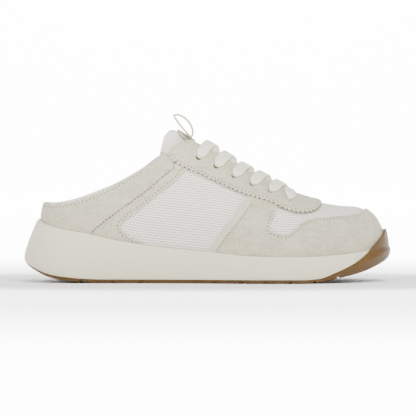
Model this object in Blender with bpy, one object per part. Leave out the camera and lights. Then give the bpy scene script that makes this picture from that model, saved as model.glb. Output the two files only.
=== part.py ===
"""Right slip-on sneaker mule: low cupped heel, laced throat, cream midsole, gum outsole with a toe wrap.

The toe points along +X, the outer (lateral) side is -Y, and the sole stands on z = 0.
A place on the upper is given by its station, 0 at the heel and 1 at the toe, and by its rise,
0 at the feather line inside the midsole's cup and 1 at the crest over the instep.
"""

import math
from collections import namedtuple

import bmesh
import bpy
from mathutils import Matrix, Vector
from mathutils.kdtree import KDTree

MM = 0.001

# The last, measured over the base shell of the upper
LAST_LENGTH = 267.2 * MM
BALL_WIDTH = 97.0 * MM
HEEL_RISE = 49.0 * MM
INSTEP_RISE = 117.5 * MM
HEEL_FAN = 32.0 * MM
TOE_FAN = 28.0 * MM
HEEL_BACK = 129.44 * MM
SIDE_SHIFT = -1.48 * MM

# Walls and clearances
GAP = 0.3 * MM
SHELL_WALL = 2.0 * MM
COLLAR_PAD = 4.5 * MM
PANEL_WALL = 1.3 * MM
EYESTAY_WALL = 1.9 * MM
CUP_DEPTH = 5.0 * MM

# Sole
RIM_WALL = 1.5 * MM
RIM_SWELL = 1.0 * MM
HEEL_FLARE = 10.6 * MM
EDGE_TUCK = 8.0 * MM
OUTSOLE_WALL = 2.0 * MM
OUTSOLE_LIP = 0.8 * MM
TOP_ROOM = 7.0 * MM
WRAP_WALL = 1.2 * MM
WRAP_RISE = 40.0 * MM
HEEL_BEVEL = 12.5 * MM
TOE_SPRING = 16.5 * MM
GROOVE_WIDTH = 2.2 * MM
GROOVE_DEPTH = 1.4 * MM
INSOLE_WALL = 5.5 * MM
INSOLE_CUP = 2.0 * MM
ARCH_LIFT = 3.0 * MM

# Tongue, loop and laces
TONGUE_WALL = 4.5 * MM
TONGUE_LIFT = 2.4 * MM
TONGUE_ROLL = 3.0 * MM
TAB_WALL = 1.2 * MM
LOOP_WIDTH = 12.0 * MM
LOOP_WALL = 1.4 * MM
LOOP_LENGTH = 23.0 * MM
LOOP_SPREAD = 8.5 * MM
LOOP_LEAN = math.radians(39.0)
LOOP_ROOT = 0.436
LACE_WIDTH = 7.2 * MM
LACE_WALL = 1.5 * MM
EYELET_RADIUS = 1.9 * MM
DIVE = 0.85
BAR_BOW = 0.012

# Breadths are shares of BALL_WIDTH, rim heights of HEEL_RISE and crest heights of INSTEP_RISE
Section = namedtuple("Section", "station lateral medial rim crest fullness")
SECTIONS = (
    Section(0.00, 0.000, 0.000, 1.000, 0.600, 2.30),
    Section(0.03, 0.213, 0.213, 0.904, 0.610, 2.30),
    Section(0.08, 0.300, 0.298, 0.832, 0.650, 2.30),
    Section(0.14, 0.322, 0.318, 0.775, 0.710, 2.25),
    Section(0.22, 0.335, 0.325, 0.675, 0.820, 2.20),
    Section(0.30, 0.347, 0.312, 0.603, 0.935, 2.15),
    Section(0.36, 0.358, 0.303, 0.565, 1.000, 2.10),
    Section(0.42, 0.375, 0.300, 0.535, 0.966, 2.10),
    Section(0.50, 0.410, 0.320, 0.490, 0.870, 2.10),
    Section(0.58, 0.450, 0.380, 0.440, 0.756, 2.10),
    Section(0.66, 0.480, 0.460, 0.422, 0.664, 2.10),
    Section(0.74, 0.475, 0.505, 0.418, 0.570, 2.15),
    Section(0.82, 0.420, 0.510, 0.432, 0.519, 2.20),
    Section(0.90, 0.305, 0.450, 0.472, 0.497, 2.25),
    Section(0.96, 0.155, 0.345, 0.515, 0.480, 2.30),
    Section(1.00, -0.100, 0.100, 0.561, 0.465, 2.30),
)
ODD = ("lateral", "medial")

# Flare is a share of HEEL_FLARE, tuck of EDGE_TUCK and belly of the side's height at its widest. Wrap is the height
# of the toe wrap as a share of WRAP_RISE and swell how much the rim thickens, as a share of RIM_SWELL
Edge = namedtuple("Edge", "station flare tuck belly wrap swell")
EDGES = (
    Edge(0.00, 1.00, 0.48, 0.18, 0.00, 0.0),
    Edge(0.08, 0.72, 0.42, 0.18, 0.00, 0.0),
    Edge(0.20, 0.42, 0.30, 0.20, 0.00, 0.0),
    Edge(0.50, 0.32, 0.25, 0.25, 0.00, 0.0),
    Edge(0.74, 0.28, 0.25, 0.28, 0.00, 0.0),
    Edge(0.80, 0.27, 0.28, 0.32, 0.09, 0.1),
    Edge(0.85, 0.26, 0.33, 0.36, 0.23, 0.4),
    Edge(0.90, 0.22, 0.42, 0.48, 0.40, 0.8),
    Edge(0.95, 0.16, 0.56, 0.62, 0.65, 1.0),
    Edge(0.98, 0.12, 0.66, 0.74, 0.83, 1.0),
    Edge(1.00, 0.10, 0.72, 0.80, 1.00, 1.0),
)

# Lift of the outsole's underside along the sole's length: heel is a share of HEEL_BEVEL, toe of TOE_SPRING
Keel = namedtuple("Keel", "place heel toe")
KEEL = (
    Keel(0.000, 1.28, 0.00),
    Keel(0.020, 0.94, 0.00),
    Keel(0.055, 0.50, 0.00),
    Keel(0.085, 0.27, 0.00),
    Keel(0.130, 0.12, 0.00),
    Keel(0.180, 0.03, 0.00),
    Keel(0.230, 0.00, 0.00),
    Keel(0.755, 0.00, 0.00),
    Keel(0.800, 0.00, 0.06),
    Keel(0.850, 0.00, 0.23),
    Keel(0.900, 0.00, 0.42),
    Keel(0.940, 0.00, 0.63),
    Keel(0.975, 0.00, 0.93),
    Keel(1.000, 0.00, 1.25),
)
GROOVES = (0.16, 0.245, 0.32, 0.52, 0.59, 0.655, 0.72, 0.785, 0.85)

# Outlines of the panels on the outer side, each row a station and a rise
COLLAR_EDGE = (
    (0.000, 0.305), (0.029, 0.306), (0.066, 0.318), (0.102, 0.343), (0.138, 0.368), (0.174, 0.398),
    (0.223, 0.444), (0.255, 0.468), (0.293, 0.506), (0.330, 0.556), (0.350, 0.585),
)
COLLAR_SEAM = (
    (0.143, 0.000), (0.150, 0.066), (0.181, 0.152), (0.232, 0.247), (0.282, 0.315), (0.327, 0.374), (0.380, 0.470),
)
TOPLINE = (
    (0.000, 0.318), (0.035, 0.332), (0.075, 0.357), (0.115, 0.387), (0.160, 0.420), (0.205, 0.452), (0.250, 0.486),
    (0.293, 0.524), (0.330, 0.572), (0.358, 0.612), (0.386, 0.680), (0.410, 0.765),
)
THROAT = ((0.432, 0.820), (0.480, 0.805), (0.560, 0.818), (0.640, 0.842), (0.700, 0.865), (0.738, 0.900))
THROAT_TIP = 0.762
EYESTAY_END = ((0.364, 0.572), (0.376, 0.625), (0.396, 0.690), (0.416, 0.765))
EYESTAY_EDGE = (
    (0.372, 0.548), (0.390, 0.524), (0.417, 0.506), (0.460, 0.500), (0.514, 0.496), (0.569, 0.503), (0.624, 0.510),
    (0.658, 0.512), (0.683, 0.502), (0.705, 0.490), (0.730, 0.492), (0.760, 0.508), (0.785, 0.535), (0.807, 0.580),
    (0.825, 0.654), (0.837, 0.760), (0.843, 0.880),
)
EYESTAY_TIP = 0.846
EYELETS = ((0.456, 0.630), (0.506, 0.630), (0.557, 0.630), (0.610, 0.636), (0.665, 0.640), (0.722, 0.632))
QUARTER_WINDOW = (
    (0.400, 0.478), (0.366, 0.384), (0.316, 0.308), (0.269, 0.241), (0.238, 0.182), (0.229, 0.143), (0.238, 0.104),
    (0.262, 0.070), (0.300, 0.044), (0.306, 0.000),
)
STRAP_EDGE = ((0.478, 0.000), (0.496, 0.075), (0.520, 0.160), (0.546, 0.252), (0.570, 0.345), (0.594, 0.470))
VAMP_WINDOW = (
    (0.686, 0.470), (0.676, 0.390), (0.664, 0.300), (0.663, 0.260), (0.680, 0.241), (0.704, 0.238), (0.722, 0.268),
    (0.745, 0.347), (0.765, 0.405), (0.786, 0.443), (0.816, 0.480), (0.847, 0.503), (0.880, 0.517), (0.909, 0.533),
    (0.948, 0.574), (0.979, 0.640), (1.000, 0.705),
)
TONGUE_END = ((0.338, 0.640), (0.342, 0.720), (0.352, 0.810), (0.362, 0.900))
TONGUE_TIP = 0.367
TONGUE_SIDE = ((0.400, 0.600), (0.480, 0.590), (0.580, 0.600), (0.700, 0.680))
TONGUE_TOE = 0.752
TAB = ((0.392, 0.890), (0.446, 0.890))

# Finishes as red, green, blue and roughness
SUEDE = (0.62, 0.59, 0.53, 0.95)
MESH = (0.76, 0.74, 0.70, 0.90)
FOAM = (0.70, 0.68, 0.61, 0.60)
GUM = (0.26, 0.15, 0.06, 0.50)
LACE = (0.74, 0.74, 0.67, 0.90)
WEBBING = (0.68, 0.67, 0.57, 0.85)

TINY = 1e-4
RING_COUNT = 56
ACROSS_STEP = 1.0 / 28.0
OVER_STEP = 1.0 / 11.0


def turn(station):
    """Spreads the stations evenly round heel and toe, as a share of a half turn."""
    return math.acos(1.0 - 2.0 * min(max(station, 0.0), 1.0)) / math.pi


def station_of(share):
    return (1.0 - math.cos(share * math.pi)) / 2.0


def lerp(low, high, part):
    return low + (high - low) * part


def smooth(value):
    value = min(max(value, 0.0), 1.0)
    return value * value * (3.0 - 2.0 * value)


def curve(knots, values, at, level_ends=False):
    """A smooth curve through the values, read at a place between the knots."""
    last = len(knots) - 1
    at = min(max(at, knots[0]), knots[last])
    i = max(k for k in range(last) if knots[k] <= at)
    step = knots[i + 1] - knots[i]

    def slope(k):
        if level_ends and k in (0, last):
            return 0.0
        low, high = max(k - 1, 0), min(k + 1, last)
        return (values[high] - values[low]) / (knots[high] - knots[low])

    w = (at - knots[i]) / step
    return (
        (1 + 2 * w) * (1 - w) ** 2 * values[i]
        + w * (1 - w) ** 2 * step * slope(i)
        + w * w * (3 - 2 * w) * values[i + 1]
        + w * w * (w - 1) * step * slope(i + 1)
    )


def columns(table):
    return {name: ([turn(row.station) for row in table], [getattr(row, name) for row in table]) for name in table[0]._fields}


SECTION_COLUMNS = columns(SECTIONS)
EDGE_COLUMNS = columns(EDGES)


def section(name, share):
    return curve(*SECTION_COLUMNS[name], share, name not in ODD)


def edge(name, share):
    return curve(*EDGE_COLUMNS[name], share, True)


def height(rows, share):
    """The rise of an outline where it passes a station."""
    return curve([turn(row[0]) for row in rows], [row[1] for row in rows], share)


def along(station):
    return station * LAST_LENGTH - HEEL_BACK


def feather(side, share):
    """A point of the feather line, where the upper meets the floor of the midsole's cup."""
    breadth = -section("lateral", share) if side < 0 else section("medial", share)
    rim = section("rim", share) * HEEL_RISE
    return Vector((along(station_of(share)), breadth * BALL_WIDTH + SIDE_SHIFT, rim - CUP_DEPTH))


def crest(share):
    """The point over the instep that a section runs up to. Sections fan out at heel and toe."""
    station = station_of(share)
    back = max(0.0, 1.0 - station / 0.45) ** 2 * HEEL_FAN
    front = max(0.0, (station - 0.55) / 0.45) ** 2 * TOE_FAN
    own = turn(station + (back - front) / LAST_LENGTH)
    middle = (section("medial", own) - section("lateral", own)) / 2.0
    return Vector((along(station_of(own)), middle * BALL_WIDTH + SIDE_SHIFT, section("crest", own) * INSTEP_RISE))


def wall(side, share, rise):
    """A point of the upper's base surface."""
    low, high, fullness = feather(side, share), crest(share), section("fullness", share)
    angle = max(rise, 0.0) * math.pi / 2.0
    cosine, sine = max(math.cos(angle), 0.0), math.sin(angle)
    reach = (cosine**fullness + sine**fullness) ** (1.0 / fullness)
    inward, upward = 1.0 - cosine / reach, sine / reach
    return Vector((low.x + (high.x - low.x) * inward, low.y + (high.y - low.y) * inward, low.z + (high.z - low.z) * upward))


def fold(across, over):
    """Side, share and rise of a pattern place.

    Across runs from the heel, 0, by the outer side to the toe, 1, and back by the inner side to the heel, 2.
    Over runs up to the crest, 1, and down the other side to 2.
    """
    across %= 2.0
    side, share = (1, 2.0 - across) if across > 1.0 else (-1, across)
    if over > 1.0:
        side, over = -side, 2.0 - over
    return side, share, over


def surface(across, over, offset=0.0):
    """A point at an offset outside the upper's base surface."""
    here = wall(*fold(across, over))
    if not offset:
        return here
    lengthwise = wall(*fold(across + TINY, over)) - wall(*fold(across - TINY, over))
    upward = wall(*fold(across, over + TINY)) - wall(*fold(across, max(over - TINY, 0.0)))
    return here + lengthwise.cross(upward).normalized() * offset


def rise_at(across, z):
    """The rise at which the base surface reaches a height."""
    side, share, _ = fold(across, 0.0)
    low, high, fullness = feather(side, share).z, crest(share).z, section("fullness", share)
    upward = min(max((z - low) / (high - low), 0.0), 1.0)
    return math.atan2(upward, (1.0 - upward**fullness) ** (1.0 / fullness)) * 2.0 / math.pi


def skin(across, z, offset):
    """A point outside the base surface near a height: level up to the rim, square to the surface above it."""
    place = surface(across, rise_at(across, z), offset)
    if z <= rim_height(across):
        place.z = z
    return place


def spine(across, z):
    """The point under the crest where the two halves of a floor meet."""
    place = crest(fold(across, 0.0)[1])
    place.z = z
    return place


def sole_ends():
    edge_room = 2 * GAP + PANEL_WALL + RIM_WALL
    heel_end = -HEEL_BACK - edge_room - HEEL_FLARE
    return heel_end, LAST_LENGTH - HEEL_BACK + edge_room + RIM_SWELL + HEEL_FLARE * EDGES[-1].flare


def keel(x):
    """The height of the outsole's underside."""
    heel_end, toe_end = sole_ends()
    place = (x - heel_end) / (toe_end - heel_end)
    knots = [row.place for row in KEEL]
    lift = curve(knots, [row.heel for row in KEEL], place) * HEEL_BEVEL
    return max(lift + curve(knots, [row.toe for row in KEEL], place) * TOE_SPRING, 0.0)


def rim_height(across):
    return section("rim", fold(across, 0.0)[1]) * HEEL_RISE


def cup():
    """The offset of the midsole's cup wall, clear of the panels."""
    return 2 * GAP + PANEL_WALL


def rim_offset(across):
    share = fold(across, 0.0)[1]
    return cup() + RIM_WALL + edge("swell", share) * RIM_SWELL


def foot(across):
    """Offset and height of the sole's lower edge."""
    share = fold(across, 0.0)[1]
    offset = rim_offset(across) + edge("flare", share) * HEEL_FLARE - edge("tuck", share) * EDGE_TUCK
    return offset, keel(skin(across, 0.0, offset).x)


def side(across, z):
    """The offset of the sole's outer side at a height between its lower edge and the rim."""
    share = fold(across, 0.0)[1]
    low, bottom = foot(across)
    rim = rim_offset(across)
    widest = rim + edge("flare", share) * HEEL_FLARE
    belly = edge("belly", share)
    part = min(max((z - bottom) / (rim_height(across) - bottom), 0.0), 1.0)
    if part < belly:
        return low + (widest - low) * math.sqrt(max(1.0 - (1.0 - part / belly) ** 2, 0.0))
    return widest - (widest - rim) * ((part - belly) / (1.0 - belly)) ** 1.3


def wrap_top(across):
    """The height of the outsole's wall: a low lip round the sole that rises to wrap the toe."""
    return max(edge("wrap", fold(across, 0.0)[1]) * WRAP_RISE, foot(across)[1] + OUTSOLE_WALL + OUTSOLE_LIP)


def levels(across):
    """Heights up the outsole's wall as far as the rim, which the midsole's side shares."""
    bottom = foot(across)[1] + OUTSOLE_WALL
    top = min(wrap_top(across), rim_height(across))
    return [lerp(bottom, top, part) for part in (0.15, 0.4, 0.7, 1.0)]


def material(name, finish):
    made = bpy.data.materials.new(name)
    made.use_nodes = True
    shader = made.node_tree.nodes["Principled BSDF"]
    shader.inputs["Base Color"].default_value = (*finish[:3], 1.0)
    shader.inputs["Roughness"].default_value = finish[3]
    return made


def welded(mesh):
    """Joins the two sides of every seam and drops the walls left inside it."""
    faces = list(mesh.faces)
    centres = KDTree(len(faces))
    for i, face in enumerate(faces):
        centres.insert(face.calc_center_median(), i)
    centres.balance()
    inside = [face for face in faces if len(centres.find_range(face.calc_center_median(), 5e-6)) > 1]
    bmesh.ops.delete(mesh, geom=inside, context="FACES")
    bmesh.ops.remove_doubles(mesh, verts=mesh.verts, dist=5e-6)
    bmesh.ops.dissolve_degenerate(mesh, edges=mesh.edges, dist=5e-6)


def finished(name, mesh, finish, crease=35.0):
    welded(mesh)
    bmesh.ops.triangulate(mesh, faces=mesh.faces, quad_method="SHORT_EDGE")
    bmesh.ops.recalc_face_normals(mesh, faces=mesh.faces)
    data = bpy.data.meshes.new(name)
    mesh.to_mesh(data)
    mesh.free()
    data.materials.append(material(name, finish))
    data.shade_smooth()
    data.set_sharp_from_angle(angle=math.radians(crease))
    made = bpy.data.objects.new(name, data)
    bpy.context.scene.collection.objects.link(made)
    return made


def ring(name, profile, count, finish, crease=35.0):
    """A floor-like solid: the profile gives, at each place across, points from its top spine out and back."""
    rows = [profile(2.0 * i / count) for i in range(count)]
    steps = len(rows[0]) - 1
    mesh = bmesh.new()
    bmesh.ops.create_grid(mesh, x_segments=count, y_segments=steps, size=0.5)
    for vertex in mesh.verts:
        i, j = round((vertex.co.x + 0.5) * count), round((vertex.co.y + 0.5) * steps)
        vertex.co = rows[i % count][j]
    return finished(name, mesh, finish, crease)


def sliced(mesh, axis, size):
    """Cuts a flat pattern along evenly spaced lines across one axis."""
    places = [vertex.co[axis] for vertex in mesh.verts]
    normal = Vector((1.0, 0.0, 0.0)) if axis == 0 else Vector((0.0, 1.0, 0.0))
    for i in range(math.ceil(min(places) / size), math.floor(max(places) / size) + 1):
        geometry = mesh.verts[:] + mesh.edges[:] + mesh.faces[:]
        bmesh.ops.bisect_plane(mesh, geom=geometry, plane_co=normal * i * size, plane_no=normal, dist=1e-5)


def pattern(name, outline, inner, outer, finish, crease=35.0):
    """A panel cut to an outline on the upper. Each offset is a length or a function of the place."""
    mesh = bmesh.new()
    mesh.faces.new([mesh.verts.new((across, over, 0.0)) for across, over in outline])
    sliced(mesh, 0, ACROSS_STEP)
    sliced(mesh, 1, OVER_STEP)
    bmesh.ops.triangulate(mesh, faces=[face for face in mesh.faces if len(face.verts) > 4])
    flat = mesh.verts[:] + mesh.edges[:] + mesh.faces[:]
    raised = bmesh.ops.extrude_face_region(mesh, geom=flat, use_keep_orig=True)
    for item in raised["geom"]:
        if isinstance(item, bmesh.types.BMVert):
            item.co.z = 1.0
    for vertex in mesh.verts:
        across, over, layer = vertex.co
        offset = outer if layer > 0.5 else inner
        vertex.co = surface(across, over, offset(across, over) if callable(offset) else offset)
    return finished(name, mesh, finish, crease)


def turned(rows):
    """Table rows as pattern places."""
    return [(turn(station), rise) for station, rise in rows]


def round_crest(places):
    return [(across, 2.0 - over) for across, over in reversed(places)]


def round_toe(places):
    return [(2.0 - across, over) for across, over in reversed(places)]


def shell_inside(across, over):
    """The base shell's inner offset: thin, thickening to a padded collar."""
    _, share, rise = fold(across, over)
    end = turn(TOPLINE[-1][0])
    if share >= end:
        return -SHELL_WALL
    near = smooth(1.0 - (height(TOPLINE, share) - rise) / 0.14)
    return -(SHELL_WALL + (COLLAR_PAD - SHELL_WALL) * near * smooth((end - share) / 0.05))


def upper():
    top = turned(TOPLINE + THROAT) + [(turn(THROAT_TIP), 1.0)]
    outline = [(0.0, 0.0)] + top + round_toe(top) + [(2.0, 0.0)]
    return pattern("upper", outline, shell_inside, 0.0, MESH)


def under_eyestay(first, last, count):
    """Places just under the eyestay's lower edge."""
    low, high = turn(first), turn(last)
    return [
        (low + (high - low) * i / count, height(EYESTAY_EDGE, low + (high - low) * i / count) - 0.012)
        for i in range(count + 1)
    ]


def heel_panel():
    near = turned(COLLAR_EDGE) + under_eyestay(0.372, 0.384, 2) + turned(reversed(COLLAR_SEAM))
    far = [(-across, over) for across, over in reversed(near) if across > 0.0]
    return pattern("heel_panel", near + far, GAP, GAP + PANEL_WALL, SUEDE)


def quarter_strip(name, inner_side):
    """The band between the heel panel's seam and the quarter's mesh window."""
    seam = [(across + 0.002, over) for across, over in turned(COLLAR_SEAM)]
    outline = seam + under_eyestay(0.388, 0.402, 1) + turned(QUARTER_WINDOW)
    if inner_side:
        outline = round_toe(outline)
    return pattern(name, outline, GAP, GAP + PANEL_WALL, SUEDE)


def toe_guard():
    near = turned(STRAP_EDGE) + under_eyestay(0.597, 0.684, 4) + turned(VAMP_WINDOW)
    return pattern("toe_guard", near + round_toe(near[:-1]), GAP, GAP + PANEL_WALL, SUEDE)


def eyelet_places():
    near = turned(EYELETS)
    return near + round_crest(near)


def eyelet_cutter():
    """Round pins through every eyelet, square to the surface."""
    mesh = bmesh.new()
    for across, over in eyelet_places():
        low, high = surface(across, over, -6 * MM), surface(across, over, 6 * MM)
        lean = (high - low).to_track_quat("Z", "Y").to_matrix().to_4x4()
        place = Matrix.Translation((low + high) / 2.0) @ lean
        bmesh.ops.create_cone(
            mesh, cap_ends=True, segments=12, radius1=EYELET_RADIUS, radius2=EYELET_RADIUS,
            depth=(high - low).length, matrix=place,
        )
    return cutter("eyelet_pins", mesh)


def cutter(name, mesh):
    bmesh.ops.recalc_face_normals(mesh, faces=mesh.faces)
    data = bpy.data.meshes.new(name)
    mesh.to_mesh(data)
    mesh.free()
    made = bpy.data.objects.new(name, data)
    made.hide_render = True
    made.display_type = "WIRE"
    bpy.context.scene.collection.objects.link(made)
    return made


def cut(part, tool):
    step = part.modifiers.new(tool.name, "BOOLEAN")
    step.operation = "DIFFERENCE"
    step.solver = "EXACT"
    step.object = tool


def eyestay():
    edge_rows, end, throat = turned(EYESTAY_EDGE), turned(EYESTAY_END), turned(THROAT)
    outline = edge_rows + [(turn(EYESTAY_TIP), 1.0)] + round_crest(edge_rows)
    outline += round_crest(end[::-1]) + round_crest(throat[::-1]) + [(turn(THROAT_TIP), 1.0)]
    outline += list(reversed(throat)) + list(reversed(end))
    return pattern("eyestay", outline, GAP, GAP + EYESTAY_WALL, SUEDE)


def tongue_outside(across, over):
    """The tongue lies against the shell and swells up through the throat, most at its top end."""
    _, share, rise = fold(across, over)
    opening = height(TOPLINE + THROAT, share)
    roll = smooth((turn(0.43) - share) / (turn(0.43) - turn(0.37)))
    full = TONGUE_LIFT * (0.45 + 0.55 * smooth((turn(0.50) - share) / 0.05)) + TONGUE_ROLL * roll
    return shell_inside(across, over) - 4 * GAP + full * smooth((rise - opening - 0.08) / 0.13)


def tongue_inside(across, over):
    return tongue_outside(across, over) - TONGUE_WALL


def tongue():
    end, side_rows = turned(TONGUE_END), turned(TONGUE_SIDE)
    outline = end + [(turn(TONGUE_TIP), 1.0)] + round_crest(end) + round_crest(side_rows[::-1])
    outline += [(turn(TONGUE_TOE), 1.20), (turn(TONGUE_TOE), 0.80)] + list(reversed(side_rows))
    return pattern("tongue", outline, tongue_inside, tongue_outside, MESH)


def tab_inside(across, over):
    return tongue_outside(across, over) + 2 * GAP


def tab_outside(across, over):
    return tab_inside(across, over) + TAB_WALL


def tongue_tab():
    near = turned(TAB)
    return pattern("tongue_tab", near + round_crest(near), tab_inside, tab_outside, SUEDE)


def pull_loop():
    """A leaf-shaped loop of webbing that stands on the tongue's tab and leans back."""
    root_place = turn(LOOP_ROOT)
    root = surface(root_place, 1.0, tab_outside(root_place, 1.0) + 2 * GAP)
    lean = Vector((-math.sin(LOOP_LEAN), 0.0, math.cos(LOOP_LEAN)))
    bulge = Vector((lean.z, 0.0, -lean.x))
    count = 28
    mesh = bmesh.new()
    bmesh.ops.create_grid(mesh, x_segments=count, y_segments=4, size=0.5)
    corners = ((0.0, -0.5), (0.0, 0.5), (1.0, 0.5), (1.0, -0.5), (0.0, -0.5))
    for vertex in mesh.verts:
        i, j = round((vertex.co.x + 0.5) * count), round((vertex.co.y + 0.5) * 4)
        angle = 2.0 * math.pi * (i % count) / count
        thick, wide = corners[j]
        out = math.sin(angle)
        reach = LOOP_SPREAD * (0.82 if out > 0.0 else 0.18) * out
        middle = root + lean * (1.0 - math.cos(angle)) / 2.0 * LOOP_LENGTH + bulge * reach
        inner = (root + lean * LOOP_LENGTH / 2.0 + bulge * LOOP_SPREAD * 0.3 - middle).normalized()
        vertex.co = middle + inner * thick * LOOP_WALL + Vector((0.0, wide * LOOP_WIDTH, 0.0))
    return finished("pull_loop", mesh, WEBBING)


def lace_offsets():
    low = GAP + EYESTAY_WALL + 2 * GAP
    return low, low + LACE_WALL


def half_lace(across):
    return LACE_WIDTH / (math.pi * LAST_LENGTH * math.sin(across * math.pi))


def lace_crossing(number):
    """Two laces crossing over the throat: each rises from an eyelet and dives at the next pair."""
    (low, over), (high, _) = turned(EYELETS)[number : number + 2]
    half = half_lace(low)
    reach = 1.0 - over
    dive = 1.0 - DIVE
    shift = (high - low) / (2.0 * reach)
    middle = (low + high) / 2.0
    near = [
        (middle - half, 1.0),
        (low - half, over),
        (low + half, over),
        (middle, over + (middle - low - half) / shift),
        (middle + dive * shift - half, DIVE),
        (middle + dive * shift + half, DIVE),
        (middle + half, 1.0),
    ]
    far = [(across, 2.0 - rise) for across, rise in reversed(near[1:-1])]
    return pattern(f"lace_crossing_{number + 1}", near + far, *lace_offsets(), LACE)


def lace_bar():
    """The straight lace over the pair nearest the toe, bowed a little forward."""
    low, over = turned(EYELETS)[-1]
    half = half_lace(low)
    near = [(low - half, over), (low + half, over), (low + half + BAR_BOW, DIVE)]
    back = [(low - half + BAR_BOW, 2.0 - DIVE), (low - half + BAR_BOW, DIVE)]
    outline = near + [(across, 2.0 - rise) for across, rise in reversed(near)] + back
    return pattern("lace_bar", outline, *lace_offsets(), LACE)


RUNG = (0.12, 0.3, 0.55, 1.0)


def rung(across, start, z_at):
    """Points from an edge in to the spine, at the height the floor has there."""
    end = spine(across, 0.0)
    points = []
    for part in RUNG:
        x, y = lerp(start.x, end.x, part), lerp(start.y, end.y, part)
        points.append(Vector((x, y, z_at(x))))
    return points


def floor(x):
    """The height of the feather line."""
    return section("rim", turn((x + HEEL_BACK) / LAST_LENGTH)) * HEEL_RISE - CUP_DEPTH


def cup_floor(x):
    return floor(x) - GAP


def insole_floor(x):
    return floor(x) + GAP


def plate_top(x):
    return keel(x) + OUTSOLE_WALL


def foam_bottom(x):
    return plate_top(x) + GAP


def placed(across, offset, z_at):
    """A point at an offset whose height follows a floor."""
    place = skin(across, 0.0, offset)
    place.z = z_at(place.x)
    return place


def midsole_profile(across):
    rim, edge_place = rim_height(across), skin(across, 0.0, foot(across)[0])
    stand = WRAP_WALL + GAP
    bottom = placed(across, foot(across)[0] - stand, foam_bottom)
    lip = skin(across, rim - CUP_DEPTH - GAP, cup())
    ledge = wrap_top(across) + GAP
    behind = stand if ledge > rim - TOP_ROOM else 0.0
    ledge = min(ledge, rim - MM)
    rows = rung(across, lip, cup_floor)[::-1] + [lip, skin(across, rim, cup())]
    rows.append(skin(across, rim, rim_offset(across) - behind - 0.4 * MM))
    for part in (0.0, 0.25, 0.5, 0.75, 0.9, 1.0):
        z = lerp(rim - 0.5 * MM, ledge, part)
        rows.append(skin(across, z, side(across, z) - behind))
    for z in [ledge] + levels(across)[::-1]:
        z = max(min(z, ledge), bottom.z)
        rows.append(skin(across, z, side(across, z) - stand))
    return rows + [bottom] + rung(across, edge_place, foam_bottom)


def outsole_profile(across):
    rim, top = rim_height(across), wrap_top(across)
    bottom = placed(across, foot(across)[0], keel)
    inner = placed(across, foot(across)[0] - WRAP_WALL, plate_top)
    heights = levels(across) + [lerp(min(top, rim), top, part) for part in (0.2, 0.6, 1.0)]

    def wall_offset(z, thickness):
        lean = smooth((z - rim) / (3 * MM)) * (RIM_WALL + RIM_SWELL - WRAP_WALL)
        return side(across, min(z, rim)) - thickness - (lean if thickness else 0.0)

    walls = [skin(across, z, wall_offset(z, WRAP_WALL)) for z in heights]
    walls += [skin(across, z, wall_offset(z, 0.0)) for z in reversed(heights)]
    return rung(across, bottom, plate_top)[::-1] + [inner] + walls + [bottom] + rung(across, bottom, keel)


def insole_top(x, inner_side):
    """The footbed's height over its floor, dished, with a rise under the arch."""
    arch = smooth(1.0 - abs((x + HEEL_BACK) / LAST_LENGTH - 0.44) / 0.2) * ARCH_LIFT if inner_side else 0.0
    return INSOLE_WALL + arch


def insole_profile(across):
    inner_side = across > 1.0
    clear = -SHELL_WALL - GAP
    bottom = placed(across, clear - GAP, insole_floor)
    height_here = insole_top(bottom.x, inner_side)
    top = skin(across, bottom.z + height_here, clear - 2 * GAP)
    top.z = bottom.z + height_here
    rows = []
    for part, point in zip(RUNG, rung(across, top, insole_floor)):
        point.z += lerp(height_here, INSOLE_WALL - INSOLE_CUP, smooth(part * 1.6))
        rows.append(point)
    return rows[::-1] + [top, bottom] + rung(across, bottom, insole_floor)


def groove_cutter():
    """Bars across the sole for its flex grooves."""
    heel_end, toe_end = sole_ends()
    mesh = bmesh.new()
    for place in GROOVES:
        x = lerp(heel_end, toe_end, place)
        top = keel(x) + GROOVE_DEPTH
        size = Matrix.Diagonal((GROOVE_WIDTH, 160 * MM, 20 * MM, 1.0))
        bmesh.ops.create_cube(mesh, size=1.0, matrix=Matrix.Translation((x, 0.0, top - 10 * MM)) @ size)
    return cutter("groove_bars", mesh)


def main():
    for item in list(bpy.data.objects):
        bpy.data.objects.remove(item, do_unlink=True)
    outsole = ring("outsole", outsole_profile, RING_COUNT, GUM)
    cut(outsole, groove_cutter())
    ring("midsole", midsole_profile, RING_COUNT, FOAM)
    ring("insole", insole_profile, RING_COUNT, MESH)
    shell, stay, pins = upper(), eyestay(), eyelet_cutter()
    cut(shell, pins)
    cut(stay, pins)
    heel_panel()
    quarter_strip("quarter_strip_outer", False)
    quarter_strip("quarter_strip_inner", True)
    toe_guard()
    tongue()
    tongue_tab()
    pull_loop()
    for number in range(len(EYELETS) - 1):
        lace_crossing(number)
    lace_bar()


main()
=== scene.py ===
"""Looks of a right slip-on sneaker mule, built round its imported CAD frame."""

import logging
import math
from dataclasses import dataclass, field
from enum import Enum
from typing import Callable, Sequence

import bmesh
import bpy
import numpy as np
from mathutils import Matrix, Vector
from mathutils.kdtree import KDTree


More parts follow.
